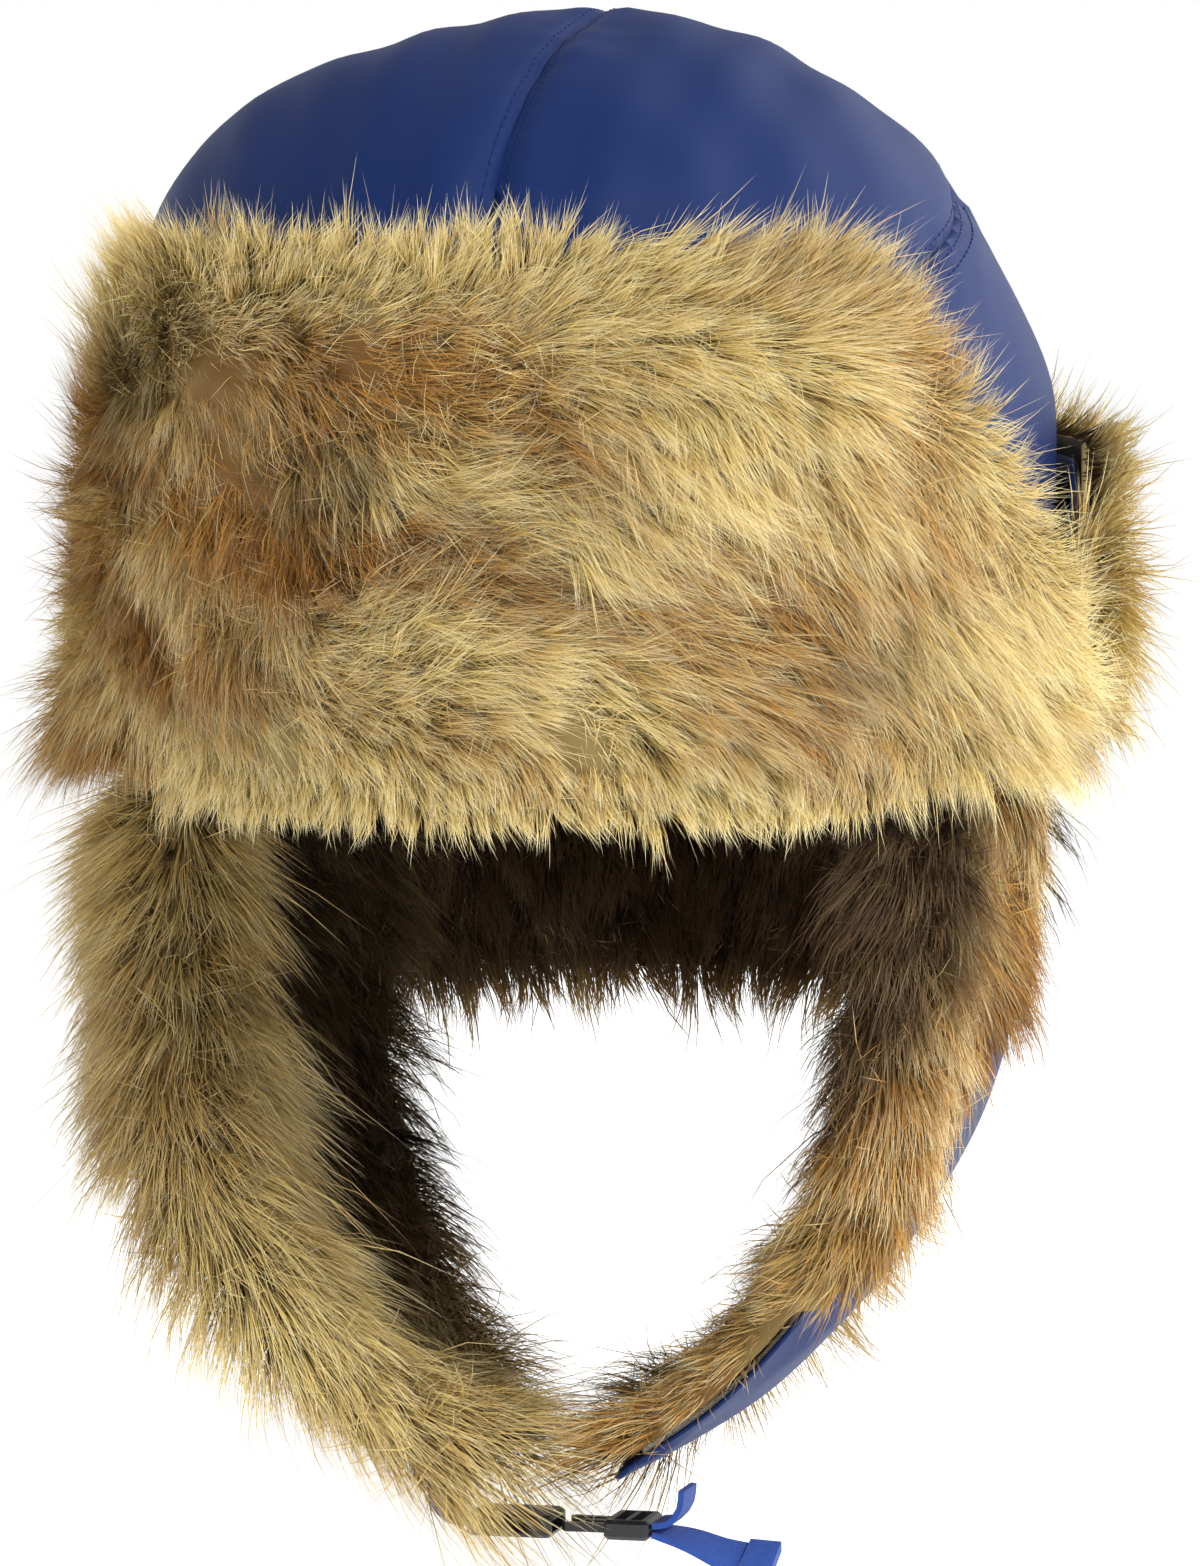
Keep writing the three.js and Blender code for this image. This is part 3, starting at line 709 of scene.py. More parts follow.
def fur_piece(name, node, skin, comb, count, look, tone, seed, density=even):
    """Tapered hairs rooted on a skin, drawn together in locks.

    look holds each hair's length and width, how many make a lock, how far a lock draws in, how
    much locks swing sideways and bend, and how far they droop. comb gives the way hairs lie,
    how steeply they rise at root and tip in radians, and a share of the length. tone gives their
    warmth, darkness and amount of painted shade.
    """
    source = np.random.default_rng(seed)
    u, v = scatter(skin, density, count, source)
    p, n, du, dv, _ = skin_frame(skin, u, v)
    direction, root_rise, tip_rise, length_share = comb(p, u, v, n, du, dv)

    centres = source.choice(count, max(count // look["hairs_per_lock"], 8), replace=False)
    tree = KDTree(len(centres))
    for i, c in enumerate(centres):
        tree.insert(p[c], i)
    tree.balance()
    lock = np.array([tree.find(q)[1] for q in p])
    gathered = p[centres[lock]] - p

    def varied(lock_spread, hair_spread):
        per_lock = source.normal(size=len(centres))[lock]
        return per_lock * lock_spread + source.normal(size=count) * hair_spread

    tuft = soft_noise(p, 17 * MM, seed + 7)
    short = source.random(count) < SHORT_HAIRS
    swing = varied(look["swing"], look["swing"] * 0.5) + short * source.uniform(-math.pi, math.pi, count)
    bend = varied(look["bend"], look["bend"] * 0.4)
    length = look["length"] * length_share * np.exp(varied(0.1, 0.2) + 0.08 * tuft) * (1 - 0.35 * short)
    lift = varied(0.1, 0.08) + 0.16 * tuft
    sideways = unit(np.cross(n, direction))

    rings = [p]
    place = p
    for k in range(1, len(STEPS)):
        middle = (STEPS[k - 1] + STEPS[k]) / 2
        rise = (root_rise * (1 - middle) + tip_rise * middle + lift)[:, None]
        turn = (swing + bend * middle)[:, None]
        heading = n * np.sin(rise) + (direction * np.cos(turn) + sideways * np.sin(turn)) * np.cos(rise)
        heading[:, 2] -= look["droop"] * middle
        place = place + unit(heading) * (length * (STEPS[k] - STEPS[k - 1]))[:, None]
        rings.append(kept_near(place + gathered * look["gather"] * STEPS[k] ** 1.3))
    rings = np.stack(rings, 1)

    tangent = unit(np.gradient(rings, axis=1))
    facing = unit(n + source.normal(size=n.shape) * 0.5)[:, None, :]
    flat = unit(np.cross(tangent, facing))
    half = look["width"] / 2 * source.uniform(0.7, 1.3, (count, 1, 1))
    half = half * np.array(TAPER)[:, None]
    left_edge = rings - flat * half
    right_edge = rings + flat * half

    segments = len(STEPS) - 1
    per_hair = 2 * segments + 1
    points = np.empty((count, per_hair, 3))
    points[:, 0:-1:2] = left_edge[:, :-1]
    points[:, 1:-1:2] = right_edge[:, :-1]
    points[:, -1] = rings[:, -1]
    along = np.array([share for share in STEPS[:-1] for _ in (0, 1)] + [1.0])

    corners = []
    for k in range(segments - 1):
        corners += [2 * k, 2 * k + 1, 2 * k + 3, 2 * k + 2]
    corners += [2 * segments - 2, 2 * segments - 1, 2 * segments]
    loops = (np.arange(count)[:, None] * per_hair + np.array(corners)).ravel()
    starts = (np.arange(count)[:, None] * len(corners) + np.arange(segments) * 4).ravel()

    mesh = bpy.data.meshes.new(name)
    mesh.vertices.add(count * per_hair)
    mesh.vertices.foreach_set("co", points.ravel())
    mesh.loops.add(len(loops))
    mesh.loops.foreach_set("vertex_index", loops.astype(np.int32))
    mesh.polygons.add(len(starts))
    mesh.polygons.foreach_set("loop_start", starts.astype(np.int32))
    mesh.update(calc_edges=True)
    mesh.shade_smooth()
    warm, dark, shaded = tone(p, u, v, source.normal(size=len(centres))[lock], source.normal(size=count))
    colour_layers(mesh, {
        "along": np.tile(along, count), "warmth": np.repeat(warm, per_hair),
        "darkness": np.repeat(dark, per_hair), "painted_shade": np.repeat(shaded, per_hair),
    })

    # Each hair has its own small cell of the colour map.
    cells = math.ceil(math.sqrt(count))
    index = np.arange(count)
    hair_u = np.tile(np.array([-0.3, 0.3] * segments + [0.0]), count)
    hair_v = 0.1 + 0.8 * np.tile(along, count)
    uv = np.stack([
        (np.repeat(index % cells + 0.5, per_hair) + hair_u) / cells,
        (np.repeat(index // cells, per_hair) + hair_v) / cells,
    ], 1)
    mesh.uv_layers.new(name="OFBake").data.foreach_set("uv", uv[loops].ravel().astype(np.float32))
    mesh.materials.append(FUR)
    piece = bpy.data.objects.new(name, mesh)
    bpy.context.scene.collection.objects.link(piece)
    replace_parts(piece, node)
    return piece


def rim_faces(columns, rows, count):
    """Quads that close the edge between two grids, the second one count points after the first."""
    edge = [i * rows for i in range(columns)] + [(columns - 1) * rows + j for j in range(1, rows)]
    edge += [i * rows + rows - 1 for i in range(columns - 2, -1, -1)] + list(range(rows - 2, 0, -1))
    return [(b, a, count + a, count + b) for a, b in zip(edge, edge[1:] + edge[:1])]


# The wool takes the darker root colour, partly dye and partly painted shade down in the pile.
WOOL_SHADE = 0.34  # the wool has the colour of a hair at this share of its length


def undercoat(name, node, skin, depth, columns, rows, tone, seed):
    """The dense short wool at the hairs' roots, as a soft lumpy slab on the skin."""
    u, v = np.meshgrid(np.linspace(0, 1, columns), np.linspace(0, 1, rows), indexing="ij")
    u, v = u.ravel(), v.ravel()
    p, n, _, _, _ = skin_frame(skin, u, v)
    rim = np.minimum(np.minimum(u, 1 - u) * columns / 4, np.minimum(v, 1 - v) * rows / 4)
    rise = depth * (0.8 + 0.2 * soft_noise(p, 9 * MM, seed)) * smooth(rim, -0.4, 1)
    count = len(p)
    faces = grid_faces(columns, rows)
    faces += [tuple(count + i for i in reversed(face)) for face in faces]
    faces += rim_faces(columns, rows, count)
    piece = new_piece(name, np.concatenate([p + n * rise[:, None], p]), faces, FUR)
    warm, dark, shaded = tone(p, u, v, soft_noise(p, 6 * MM, seed + 1), soft_noise(p, 3 * MM, seed + 2))
    colour_layers(piece.data, {
        "along": np.full(2 * count, WOOL_SHADE), "warmth": np.tile(warm, 2),
        "darkness": np.tile(dark, 2), "painted_shade": np.tile(shaded, 2),
    })
    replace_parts(piece, node)
    return piece


CUFF_STANDOFF = 3.5 * MM  # from the crown to the cuff's backing
BACKING = 1.4 * MM
SKIN_OUT = CUFF_STANDOFF + BACKING + 1 * MM  # from the crown to the fur's roots
CUFF_LEAN_FROM = 60 * MM  # above this the cuffs lean in with the crown, by a share of the rise
CUFF_LEAN_IN = 0.04

# The flap's top edge is level across the front and falls to its ends. Its fur hangs just below the
# brim in front and stops higher over the ears.
FRONT_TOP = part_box("front_flap_backing")[1].z
FRONT_HALF_ANGLE = math.radians(88)
LEVEL_LEFT, LEVEL_RIGHT = math.radians(38), math.radians(48)
FRONT_FALL = 0.82
FRONT_LOW, EAR_LIFT = -2 * MM, 10 * MM
LIFT_FROM, LIFT_TO = math.radians(40), math.radians(58)


def cuff_point(angle, z, out):
    """A point of the cuffs, at an angle round the crown from its front, a height and a distance."""
    reach = out - CUFF_LEAN_IN * np.maximum(z - CUFF_LEAN_FROM, 0)
    return np.stack([
        (HALF_WIDTH + reach) * np.sin(angle), -(HALF_LENGTH + reach) * np.cos(angle), z + 0 * angle,
    ], 1)


def front_flap_top(angle):
    level_to = np.where(angle > 0, LEVEL_LEFT, LEVEL_RIGHT)
    return FRONT_TOP * (1 - FRONT_FALL * smooth(np.abs(angle), level_to, FRONT_HALF_ANGLE))


def front_flap_low(angle):
    return FRONT_LOW + EAR_LIFT * smooth(np.abs(angle), LIFT_FROM, LIFT_TO)


def front_skin(from_angle, to_angle):
    """The front flap's fur side, between two angles."""
    def skin(u, v):
        angle = from_angle + (to_angle - from_angle) * u
        low, high = front_flap_low(angle), front_flap_top(angle)
        return cuff_point(angle, low + (high - low) * v, SKIN_OUT)
    return skin


def cuff_angle(p):
    """Degrees round the crown from its front, towards the wearer's left."""
    return np.degrees(np.arctan2(p[:, 0] / HALF_WIDTH, -p[:, 1] / HALF_LENGTH))


# Where the fur is dyed brown: degrees round the crown, height, how wide, how tall, and how strong.
BROWN_PATCHES = (
    (-34, 93, 15, 13, 0.75), (-3, 92, 15, 9, 0.6), (6, 77, 7, 10, 0.8), (-46, 45, 15, 26, 0.6),
    (0, 18, 8, 8, 0.5), (51, 76, 8, 14, 0.75), (67, 86, 6, 8, 0.4), (34, 40, 6, 10, 0.45),
    (-18, 64, 14, 10, 0.4), (16, 84, 3, 14, 0.5), (-75, 60, 12, 30, 0.5), (100, 35, 8, 12, 0.15),
    (150, 40, 14, 14, 0.6), (190, 30, 12, 14, 0.5), (-120, 34, 14, 14, 0.6),
)


def cuff_tone(p, u, v, lock, hair):
    """Brown patches, pale rims, painted shade in the valleys between locks, and a paler start behind the
    left ear.
    """
    angle, z = cuff_angle(p), p[:, 2] / MM
    brown = 0 * u
    for at, height, wide, tall, strength in BROWN_PATCHES:
        off = (angle - at + 180) % 360 - 180
        brown = brown + strength * np.exp(-((off / wide) ** 2) - ((z - height) / tall) ** 2)
    streak = soft_noise(p * [1, 1, 2.6], 34 * MM, 22)
    # Painted shade in the valleys between broad locks.
    valley_shade = smooth(-soft_noise(p * [1, 1, 1.5], 26 * MM, 23), 0.7, 1.7)
    rim = smooth(v, 0.74, 0.95) + smooth(-v, -0.2, -0.02)
    pale = 0.35 * smooth(angle, 88, 100) * smooth(-angle, -135, -115)
    warm = 0.36 + 0.65 * brown + 0.28 * streak + 0.13 * lock + 0.16 * hair - 0.4 * rim - pale
    dark = 0.12 + 0.65 * brown + 0.3 * streak + 0.18 * lock + 0.22 * hair - 0.45 * rim - pale
    return warm, dark, 0.5 * valley_shade * (1 - 0.8 * rim) * (1 - pale)


def front_comb(p, u, v, n, du, dv):
    """Combed across with swirls, up at the top edge, down at the lower, and matted at one temple."""
    angle = cuff_angle(p)
    swirl = 0.48 * soft_noise(p, 46 * MM, 31) + 0.24 * soft_noise(p, 23 * MM, 32) - 0.25
    up, down = smooth(v, 0.7, 0.97), smooth(-v, -0.26, -0.03)
    rise = 1.4 * up - 1.35 * down
    turn = (rise + swirl * (1 - 0.6 * np.maximum(up, down)))[:, None]
    direction = du * np.cos(turn) + dv * np.sin(turn)
    matted = smooth(-angle, 28, 50) * smooth(-v, -0.9, -0.7) * smooth(v, 0.05, 0.25)
    matting = 0.4 * matted[:, None] * soft_noise(p, 7 * MM, 33)[:, None]
    direction = direction * np.cos(matting) + np.cross(n, direction) * np.sin(matting)
    over_ears = smooth(np.abs(angle), 44, 60)
    length = (1 - 0.3 * matted) * (1 - 0.22 * up) * (1 - 0.5 * down * (1 - over_ears))
    return direction, 1.05 + 0.2 * matted, 0.12 + 0.25 * up + 0.2 * matted, length


FRONT_LOOK = {
    "length": 20 * MM, "width": 0.25 * MM, "hairs_per_lock": 40, "gather": 0.5, "swing": 0.13,
    "bend": 0.35, "droop": 0.12,
}
HAIRS = 39500


def cuff_backing(name, node, from_angle, to_angle, top):
    """The stiffened nylon behind a cuff's fur, from the brim up to a rule for its top edge."""
    columns, rows, low = 72, 12, 1 * MM
    angle = np.repeat(np.linspace(from_angle, to_angle, columns), rows)
    share = np.tile(np.linspace(0, 1, rows), columns)
    z = low + (top(angle) - low) * share
    inner = cuff_point(angle, z, CUFF_STANDOFF)
    outer = cuff_point(angle, z, CUFF_STANDOFF + BACKING)
    count = len(inner)
    sheet = grid_faces(columns, rows)
    faces = [tuple(count + i for i in face) for face in sheet]
    faces += [tuple(reversed(face)) for face in sheet + rim_faces(columns, rows, count)]
    piece = new_piece(name, np.concatenate([inner, outer]), faces, NYLON, "crown")
    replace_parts(piece, node)


cuff_backing(
    "front_flap_backing_cloth", "front_flap_backing",
    -FRONT_HALF_ANGLE, FRONT_HALF_ANGLE, front_flap_top,
)
for index, (start, end) in enumerate(((-88, -52), (-52, -22), (-22, 7), (7, 38), (38, 88))):
    front_hair = fur_piece(
        f"front_flap_fur_{index + 1}", "front_flap_fur",
        front_skin(math.radians(start), math.radians(end)),
        front_comb, HAIRS, FRONT_LOOK, cuff_tone, 100 + index,
    )
    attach(front_hair, "crown")
front_wool = undercoat(
    "front_flap_fur_wool", "front_flap_fur", front_skin(-FRONT_HALF_ANGLE, FRONT_HALF_ANGLE),
    6 * MM, 120, 40, cuff_tone, 110,
)
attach(front_wool, "crown")


# ------------------------------------------------------------ rear cuff
# The same fur on a lower stiffened nylon band round the sides and back, sewn in at the brim and
# tacked up. It starts in a notch over each ear, where its hair curls round the end.
REAR_FROM = math.radians(93)
REAR_CLOTH_FROM = REAR_FROM + math.radians(2)
REAR_FUR_FROM = REAR_FROM - math.radians(2.6)
REAR_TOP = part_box("rear_cuff_backing")[1].z
REAR_LOW = 9 * MM
REAR_LEVEL_TO = math.radians(77)  # to each side of the back
REAR_FALL = 0.3


def rear_cuff_top(angle):
    turn = np.abs(math.pi - angle)
    return REAR_TOP * (1 - REAR_FALL * smooth(turn, REAR_LEVEL_TO, math.pi - REAR_FROM))


def rear_skin(u, v):
    angle = REAR_FUR_FROM + (2 * math.pi - 2 * REAR_FUR_FROM) * u
    return cuff_point(angle, REAR_LOW + (rear_cuff_top(angle) - REAR_LOW) * v, SKIN_OUT)


def rear_comb(p, u, v, n, du, dv):
    """Combed forward on both sides, up at the top edge, down at the lower, flat at the ends."""
    swirl = 0.4 * soft_noise(p, 46 * MM, 41)
    up, down = smooth(v, 0.4, 0.85), smooth(-v, -0.4, -0.05)
    turn = (1.3 * up - 1.3 * down + swirl)[:, None]
    onward = np.where(u[:, None] < 0.5, -du, du)
    ends = 1 - smooth(np.minimum(u, 1 - u), 0.0, 0.06)
    direction = unit(onward * np.cos(turn) * (0.6 + 1.2 * ends)[:, None] + dv * np.sin(turn))
    return direction, 1.05 - 0.8 * ends, 0.2 + 0.15 * up - 0.4 * ends, 1 - 0.2 * up - 0.3 * down


cuff_backing(
    "rear_cuff_backing_cloth", "rear_cuff_backing", REAR_CLOTH_FROM, 2 * math.pi - REAR_CLOTH_FROM,
    lambda angle: rear_cuff_top(angle) - 4 * MM,
)
rear_hair = fur_piece(
    "rear_cuff_fur_hair", "rear_cuff_fur", rear_skin, rear_comb, HAIRS,
    dict(FRONT_LOOK, width=0.34 * MM), cuff_tone, 120,
)
rear_wool = undercoat("rear_cuff_fur_wool", "rear_cuff_fur", rear_skin, 6 * MM, 110, 24, cuff_tone, 130)
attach(rear_hair, "crown")
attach(rear_wool, "crown")


# ------------------------------------------------------------ ear flaps
# Each flap is nylon outside, wadded, and lined with the same fur, which rolls out over the front
# edge. It is sewn on at the brim.
FLAP_TOP = -3 * MM
FLAP_INSET = 2 * MM
FLAP_FROM, FLAP_TO = math.radians(57), math.radians(124)


def brim_point(angle):
    """A point of the brim in millimetres."""
    across, ahead = HALF_WIDTH - FLAP_INSET, HALF_LENGTH - FLAP_INSET
    return across * math.sin(angle) / MM, -ahead * math.cos(angle) / MM, FLAP_TOP / MM


# The left flap's two edges and the line between them where it stands out furthest, in millimetres.
FRONT_EDGE = [brim_point(FLAP_FROM), (84, -66, -52), (75, -68, -98), (47, -62, -135), (19, -53, -156)]
FULLEST_LINE = [
    brim_point((FLAP_FROM + FLAP_TO) / 2),
    (95, -8, -45), (83, -16, -90), (49, -32, -135), (16, -46, -159),
]
REAR_EDGE = [brim_point(FLAP_TO), (79, 60, -41), (70, 38, -82), (45, 3, -124), (16, -38, -156)]


def smooth_line(points, t):
    """A centripetal spline through points given in millimetres, at shares t of its length."""
    points = np.array(points, float) * MM
    ends = np.concatenate([[2 * points[0] - points[1]], points, [2 * points[-1] - points[-2]]])
    t = np.clip(t, 0, 1)
    place = t * (len(points) - 1)
    i = np.minimum(place.astype(int), len(points) - 2)
    w = (place - i)[:, None]
    p0, p1, p2, p3 = ends[i], ends[i + 1], ends[i + 2], ends[i + 3]
    d0 = np.linalg.norm(p1 - p0, axis=1)[:, None] ** 0.5
    d1 = np.linalg.norm(p2 - p1, axis=1)[:, None] ** 0.5
    d2 = np.linalg.norm(p3 - p2, axis=1)[:, None] ** 0.5
    m1 = ((p1 - p0) / d0 - (p2 - p0) / (d0 + d1) + (p2 - p1) / d1) * d1
    m2 = ((p2 - p1) / d1 - (p3 - p1) / (d1 + d2) + (p3 - p2) / d2) * d1
    return (
        (2 * w ** 3 - 3 * w ** 2 + 1) * p1 + (w ** 3 - 2 * w ** 2 + w) * m1
        + (-2 * w ** 3 + 3 * w ** 2) * p2 + (w ** 3 - w ** 2) * m2
    )


def flap_point(across, down):
    """The left flap's outer face, at shares of the way across and down it."""
    front, rear = smooth_line(FRONT_EDGE, down), smooth_line(REAR_EDGE, down)
    bulge = 2 * smooth_line(FULLEST_LINE, down) - 0.5 * front - 0.5 * rear
    a = across[:, None]
    return (1 - a) ** 2 * front + 2 * a * (1 - a) * bulge + a ** 2 * rear


def flap_surface(depth):
    """The flap at a depth inside its outer face, as a skin whose normals look inward."""
    def skin(u, v):
        e = 2e-3
        p = flap_point(u, v)
        du = flap_point(u + e, v) - flap_point(u - e, v)
        dv = flap_point(u, np.clip(v + e, 0, 1)) - flap_point(u, np.clip(v - e, 0, 1))
        inward = unit(np.cross(dv, du))
        inward *= np.where(inward[:, :1] > 0, -1, 1)
        d = depth(u, v) if callable(depth) else depth
        return p + inward * np.reshape(d, (-1, 1))
    return skin


# Where the fur goes, as u runs over it: the outer face's margin, round the front edge, the inner
# face, and round the rear edge.
MARGIN_END, ROLL_END, INNER_END = 0.2, 0.34, 0.94
FUR_STANDS = 7 * MM  # from the flap's outer face to the inner face's hair roots
FRONT_ROLL, REAR_ROLL = 5 * MM, 4 * MM  # how far the rolled edges reach past the flap's own
BARE_FROM, BARE_FULL = 0.5, 0.6


def turned_over(v):
    """Share of the flap's outer face that the fur covers behind the front edge."""
    return 0.02 + 0.46 * (1 - smooth(v, 0.12, 0.52))


def edge_roll(across, v, share, reach):
    """A half turn of fur round the front or rear edge, from the outer face to the inner one."""
    at = np.full_like(v, across)
    inside = np.full_like(v, 0.02 if across == 0 else 0.98)
    e = 2e-3
    edge = flap_point(at, v)
    ahead = unit(edge - flap_point(inside, v))
    down = unit(flap_point(at, np.clip(v + e, 0, 1)) - flap_point(at, np.clip(v - e, 0, 1)))
    inward = unit(np.cross(down, ahead))
    inward *= np.where(inward[:, :1] > 0, -1, 1)
    a = (share * math.pi)[:, None]
    return edge + inward * (FUR_STANDS * 0.5 * (1 - np.cos(a))) + ahead * (reach * np.sin(a))


def rolled_skin(bare):
    """The whole fur lining as a skin.

    Low down it leaves a share, bare, of the way round the front edge uncovered, and nylon shows.
    """
    def share_between(u, start, end):
        return np.clip((u - start) / (end - start), 0, 1)

    def skin(u, v):
        low = smooth(v, BARE_FROM, BARE_FULL)
        round_from = bare * low
        hidden = (low * (bare > 0))[:, None]
        margin = flap_surface(-0.5 * MM)(turned_over(v) * (1 - share_between(u, 0, MARGIN_END)), v)
        margin = margin * (1 - hidden) + edge_roll(0, v, round_from, FRONT_ROLL) * hidden
        turn = round_from + (1 - round_from) * share_between(u, MARGIN_END, ROLL_END)
        front = edge_roll(0, v, turn, FRONT_ROLL)
        inner = flap_surface(FUR_STANDS)(share_between(u, ROLL_END, INNER_END), v)
        rear = edge_roll(1, v, 1 - share_between(u, INNER_END, 1), REAR_ROLL)
        at = u[:, None]
        return np.select([at < MARGIN_END, at < ROLL_END, at < INNER_END], [margin, front, inner], rear)
    return skin


def held_in(skin):
    """The same skin, stopping short of its side and lower edges."""
    def inner(u, v):
        return skin(0.05 + 0.9 * u, 0.95 * v)
    return inner


def mirrored(skin):
    """The other side's skin. u runs the other way, so that its normals still look out."""
    def other(u, v):
        return skin(1 - u, v) * [-1, 1, 1]
    return other


def mirrored_comb(comb):
    """The same comb for a mirrored skin."""
    def other(p, u, v, n, du, dv):
        return comb(p, 1 - u, v, n, -du, dv)
    return other


def mirrored_tone(tone):
    """The same tone for a mirrored skin."""
    def other(p, u, v, lock, hair):
        return tone(p, 1 - u, v, lock, hair)
    return other


def closed_sheet(name, outer, inner, columns, rows, material):
    """A closed piece between two faces, both given as skins."""
    u, v = np.meshgrid(np.linspace(0, 1, columns), np.linspace(0, 1, rows), indexing="ij")
    u, v = u.ravel(), v.ravel()
    count = len(u)
    faces = grid_faces(columns, rows)
    faces += [tuple(count + i for i in reversed(face)) for face in faces]
    faces += rim_faces(columns, rows, count)
    piece = new_piece(name, np.concatenate([outer(u, v), inner(u, v)]), faces, material)
    work = bmesh.new()
    work.from_mesh(piece.data)
    bmesh.ops.recalc_face_normals(work, faces=work.faces[:])
    work.to_mesh(piece.data)
    work.free()
    return piece


def puffed(u, v):
    """How far the wadded nylon stands in from the flap's outer face: soft edges and slack folds."""
    rim = np.minimum(np.minimum(u, 1 - u) * 5, np.minimum(v + 0.05, 1 - v) * 7)
    p = np.stack([u * 0.12, v * 0.16, 0 * u], 1)
    return 2.2 * MM * (1 - smooth(rim, 0, 1)) + 0.8 * MM * soft_noise(p, 30 * MM, 51) * smooth(rim, 0, 1)


def flap_tone(p, u, v, lock, hair):
    """Ginger on the left flap and cream on the right, with painted shade inside and a painted shadow on
    the right flap's front.
    """
    left = p[:, 0] > 0
    broad = soft_noise(p, 34 * MM, 61)
    warm = np.where(left, 0.72, 0.3) + 0.2 * broad + 0.14 * lock + 0.1 * hair
    dark = np.where(left, 0.42, 0.2) + 0.32 * soft_noise(p, 20 * MM, 62) + 0.18 * lock + 0.2 * hair
    # Painted shadow: a dark band across the right flap's front, about 48 mm below the brim.
    shadow = np.exp(-((p[:, 2] / MM + 48) / 30) ** 2) * ~left * smooth(-u, -0.42, -0.3)
    # Painted shade over the inner face, less at the rear edge and low down.
    inside = smooth(u, 0.46, 0.62)
    shaded = inside * (0.94 - 0.35 * smooth(u, 0.9, 1)) * (1 - 0.5 * smooth(v, 0.6, 0.9))
    # On the left flap the painted shade also covers the inner-facing half of the front roll, near the
    # top.
    dark_from = 0.1 + 0.2 * smooth(v, 0, 0.5)
    near_inside = 0.92 * smooth(u, dark_from, dark_from + 0.07) * (1 - 0.85 * smooth(v, 0.42, 0.66))
    shaded = np.where(left, np.maximum(shaded, near_inside), shaded)
    shaded = shaded * (1 - 0.9 * left * smooth(u, 0.9, 0.96) * smooth(v, 0.45, 0.6))
    return warm, dark + 0.4 * shadow, np.maximum(shaded, 0.25 * shadow) + 0.05 * lock * (shaded > 0.1)


def rolled_comb(p, u, v, n, du, dv):
    """Combed down, fanning out over both side edges and turning in at the lower end."""
    swirl = 0.35 * soft_noise(p, 36 * MM, 63)
    margin = smooth(-u, -MARGIN_END, -MARGIN_END * 0.7)
    rear = smooth(u, INNER_END - 0.06, INNER_END)
    inner = smooth(u, ROLL_END, ROLL_END + 0.2) * (1 - rear)
    hem = smooth(v, 0.8, 1)
    across = (swirl - 0.45 * margin + 0.45 * rear)[:, None]
    left = p[:, 0] > 0
    outboard = np.stack([np.sign(p[:, 0]), 0 * u, 0 * u], 1)
    low = smooth(v, 0.45, 0.6) * (1 - hem) * left
    lean = (1.3 * rear - 0.3 * (u < ROLL_END)) * low - 0.7 * hem
    direction = unit(dv + du * across + outboard * lean[:, None])
    length = (1 - 0.35 * inner) * (1 + 0.4 * hem) * np.where(left, 0.82 - 0.2 * margin, 1)
    length = length * (1 - 0.4 * low * (u < ROLL_END))
    tip = 0.12 + (0.22 + 0.8 * (1 - smooth(v, 0.02, 0.14))) * (1 - inner) * ~left
    return direction, 1.05 - 0.35 * margin * left, tip, length


def edge_density(u, v):
    """Hair of the front half of the lining, as dense everywhere."""
    return u < 0.5


def inner_density(u, v):
    """Hair of the rear half, at half density except round the rear edge and the lower end."""
    thick = np.maximum(smooth(u, INNER_END - 0.04, INNER_END), smooth(v, 0.6, 0.9))
    return (u >= 0.5) * (0.5 + 0.5 * thick)


FLAP_LOOK = dict(FRONT_LOOK, length=23 * MM, width=0.28 * MM, droop=0.22)
FLAP_WOOL = 5 * MM  # depth of the undercoat
FILL_OUTER, FILL_INNER = 3.4 * MM, 5 * MM  # the wadding's two faces, as depths in the flap
BARE_SHARE = {"left": 0.45, "right": 0}
HAIR_SEEDS = {
    ("left", "edge"): 148, ("left", "inner"): 149,
    ("right", "edge"): 149, ("right", "inner"): 150,
}
WOOL_SEED = 150


def sewn_at_brim(piece):
    """Bakes a piece's placement into its mesh."""
    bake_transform(piece)


def puffed_inside(u, v):
    """The nylon's inner face."""
    return puffed(u, v) + CLOTH


for side in ("left", "right"):
    flip = (lambda skin: skin) if side == "left" else mirrored
    lined = flip(rolled_skin(BARE_SHARE[side]))
    comb = rolled_comb if side == "left" else mirrored_comb(rolled_comb)
    tone = flap_tone if side == "left" else mirrored_tone(flap_tone)
    body = f"ear_flap_{side}"
    shell = closed_sheet(
        f"{body}_shell_cloth", flip(flap_surface(puffed)), flip(flap_surface(puffed_inside)),
        64, 72, NYLON,
    )
    padding = closed_sheet(
        f"{body}_padding_fill", flip(held_in(flap_surface(FILL_OUTER))),
        flip(held_in(flap_surface(FILL_INNER))), 24, 24, WADDING,
    )
    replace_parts(shell, f"{body}_shell")
    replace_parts(padding, f"{body}_padding")
    made = [shell, padding]
    for part, rule, count in (("edge", edge_density, HAIRS), ("inner", inner_density, HAIRS // 2)):
        density = rule if side == "left" else (lambda u, v, rule=rule: rule(1 - u, v))
        made.append(fur_piece(
            f"{body}_fur_{part}_hair", f"{body}_fur", lined, comb, count, FLAP_LOOK, tone,
            HAIR_SEEDS[side, part], density,
        ))
    made.append(undercoat(f"{body}_fur_wool", f"{body}_fur", lined, FLAP_WOOL, 90, 60, tone, WOOL_SEED))
    for piece in made:
        sewn_at_brim(piece)


# ------------------------------------------------------------ neck flap
# A short curtain across the back between the ear flaps, in the same layers of nylon, wadding and
# fur. It is sewn on at the brim, and its fur is painted dark as shade, since it lies in the hat's own
# shade.
NECK_FROM = math.radians(128)
NECK_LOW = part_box("neck_flap_shell")[0].z
NECK_FUR = 6 * MM


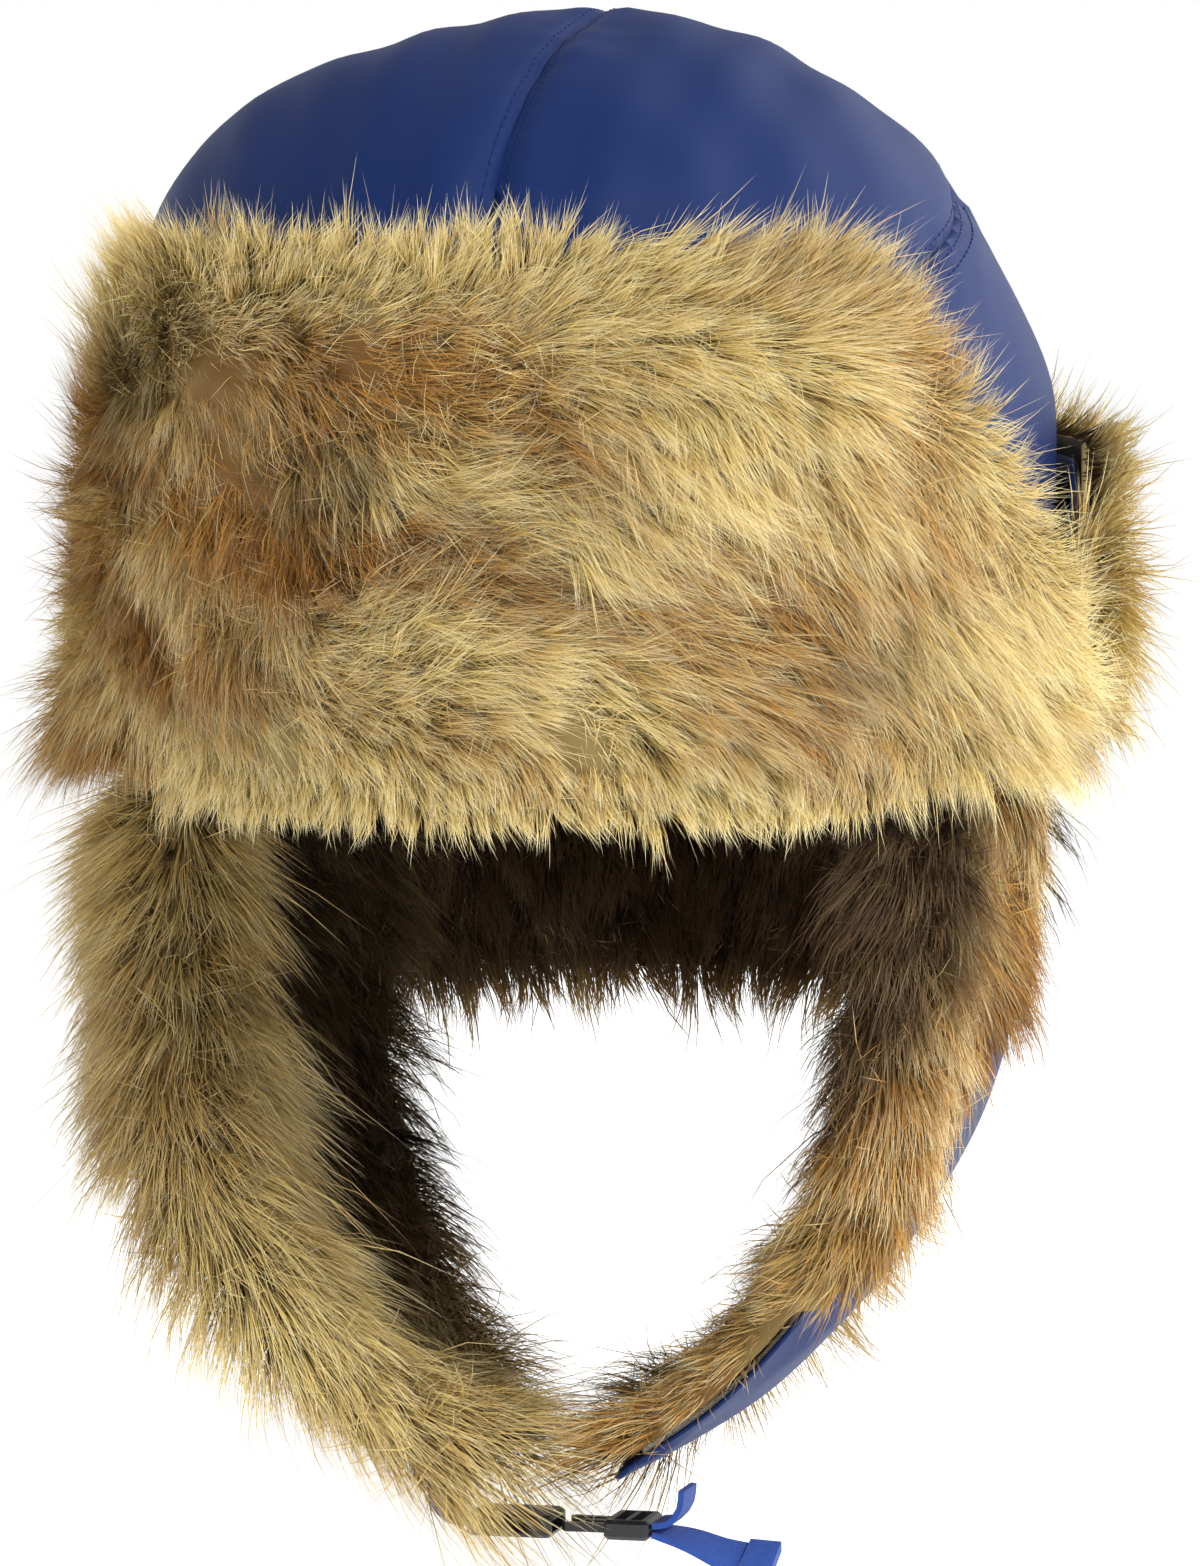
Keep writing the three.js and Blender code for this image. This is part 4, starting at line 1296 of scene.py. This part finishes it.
def neck_surface(depth):
    """The neck flap at a depth inside its outer face, as a skin whose normals look inward."""
    def skin(u, v):
        angle = NECK_FROM + (2 * math.pi - 2 * NECK_FROM) * u
        inset = FLAP_INSET + (depth(u, v) if callable(depth) else depth)
        x, y = (HALF_WIDTH - inset) * np.sin(angle), -(HALF_LENGTH - inset) * np.cos(angle)
        return np.stack([x, y, FLAP_TOP + (NECK_LOW - FLAP_TOP) * v], 1)
    return skin


def neck_comb(p, u, v, n, du, dv):
    """Combed straight down, a little shorter."""
    swirl = (0.3 * soft_noise(p, 36 * MM, 71))[:, None]
    return unit(dv + du * swirl), 1.05 + 0 * u, 0.25 + 0 * u, 0.75 + 0 * u


def neck_tone(p, u, v, lock, hair):
    """Dark brown, nearly all painted shade, with less of it along the lower edge, where daylight reaches
    it.
    """
    warm, dark = 0.6 + 0.15 * lock + 0.1 * hair, 0.5 + 0.2 * lock + 0.2 * hair
    return warm, dark, 0.97 - 0.65 * smooth(v, 0.78, 1) + 0.04 * lock


neck_shell = closed_sheet(
    "neck_flap_shell_cloth", neck_surface(puffed), neck_surface(puffed_inside), 60, 24, NYLON,
)
neck_padding = closed_sheet(
    "neck_flap_padding_fill", held_in(neck_surface(FILL_OUTER)), held_in(neck_surface(FILL_INNER)),
    24, 10, WADDING,
)
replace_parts(neck_shell, "neck_flap_shell")
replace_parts(neck_padding, "neck_flap_padding")
neck_hair = fur_piece(
    "neck_flap_fur_hair", "neck_flap_fur", neck_surface(NECK_FUR), neck_comb, HAIRS // 2,
    dict(FLAP_LOOK, width=0.4 * MM), neck_tone, 160,
)
neck_wool = undercoat(
    "neck_flap_fur_wool", "neck_flap_fur", neck_surface(NECK_FUR), 4 * MM, 60, 20, neck_tone, 170,
)
for piece in (neck_shell, neck_padding, neck_hair, neck_wool):
    sewn_at_brim(piece)


# ------------------------------------------------------------ chin strap and buckle
# Flat blue webbing sewn to the end of each ear flap, and the two moulded halves of a dark
# side-release buckle. The free end hangs out of the plug's bars, with its tip folded and stitched.
WEBBING = cloth_material("blue_webbing", srgb(40, 74, 158), srgb(54, 92, 178), 900, 0.7, 0.1, 0.25, 0.6)
PLASTIC = bpy.data.materials.new("dark_plastic")
PLASTIC.use_nodes = True
plastic_shader = PLASTIC.node_tree.nodes["Principled BSDF"]
plastic_shader.inputs["Base Color"].default_value = srgb(28, 29, 33)
plastic_shader.inputs["Roughness"].default_value = 0.38
for node in ("buckle_socket", "buckle_plug"):
    frame["nodes"][node].data.materials.clear()
    frame["nodes"][node].data.materials.append(PLASTIC)
for node in (
    "chin_strap_right_webbing", "chin_strap_left_webbing", "chin_strap_loose_end", "chin_strap_end_tab",
):
    piece = frame["nodes"][node].copy()
    piece.data = piece.data.copy()
    piece.name = f"{node}_cloth"
    piece.data.materials.clear()
    piece.data.materials.append(WEBBING)
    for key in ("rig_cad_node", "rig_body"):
        if key in piece:
            del piece[key]
    piece.parent = None
    bpy.context.scene.collection.objects.link(piece)
    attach(piece, "ear_flap_right" if "right" in node else "ear_flap_left")
    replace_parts(piece, node)

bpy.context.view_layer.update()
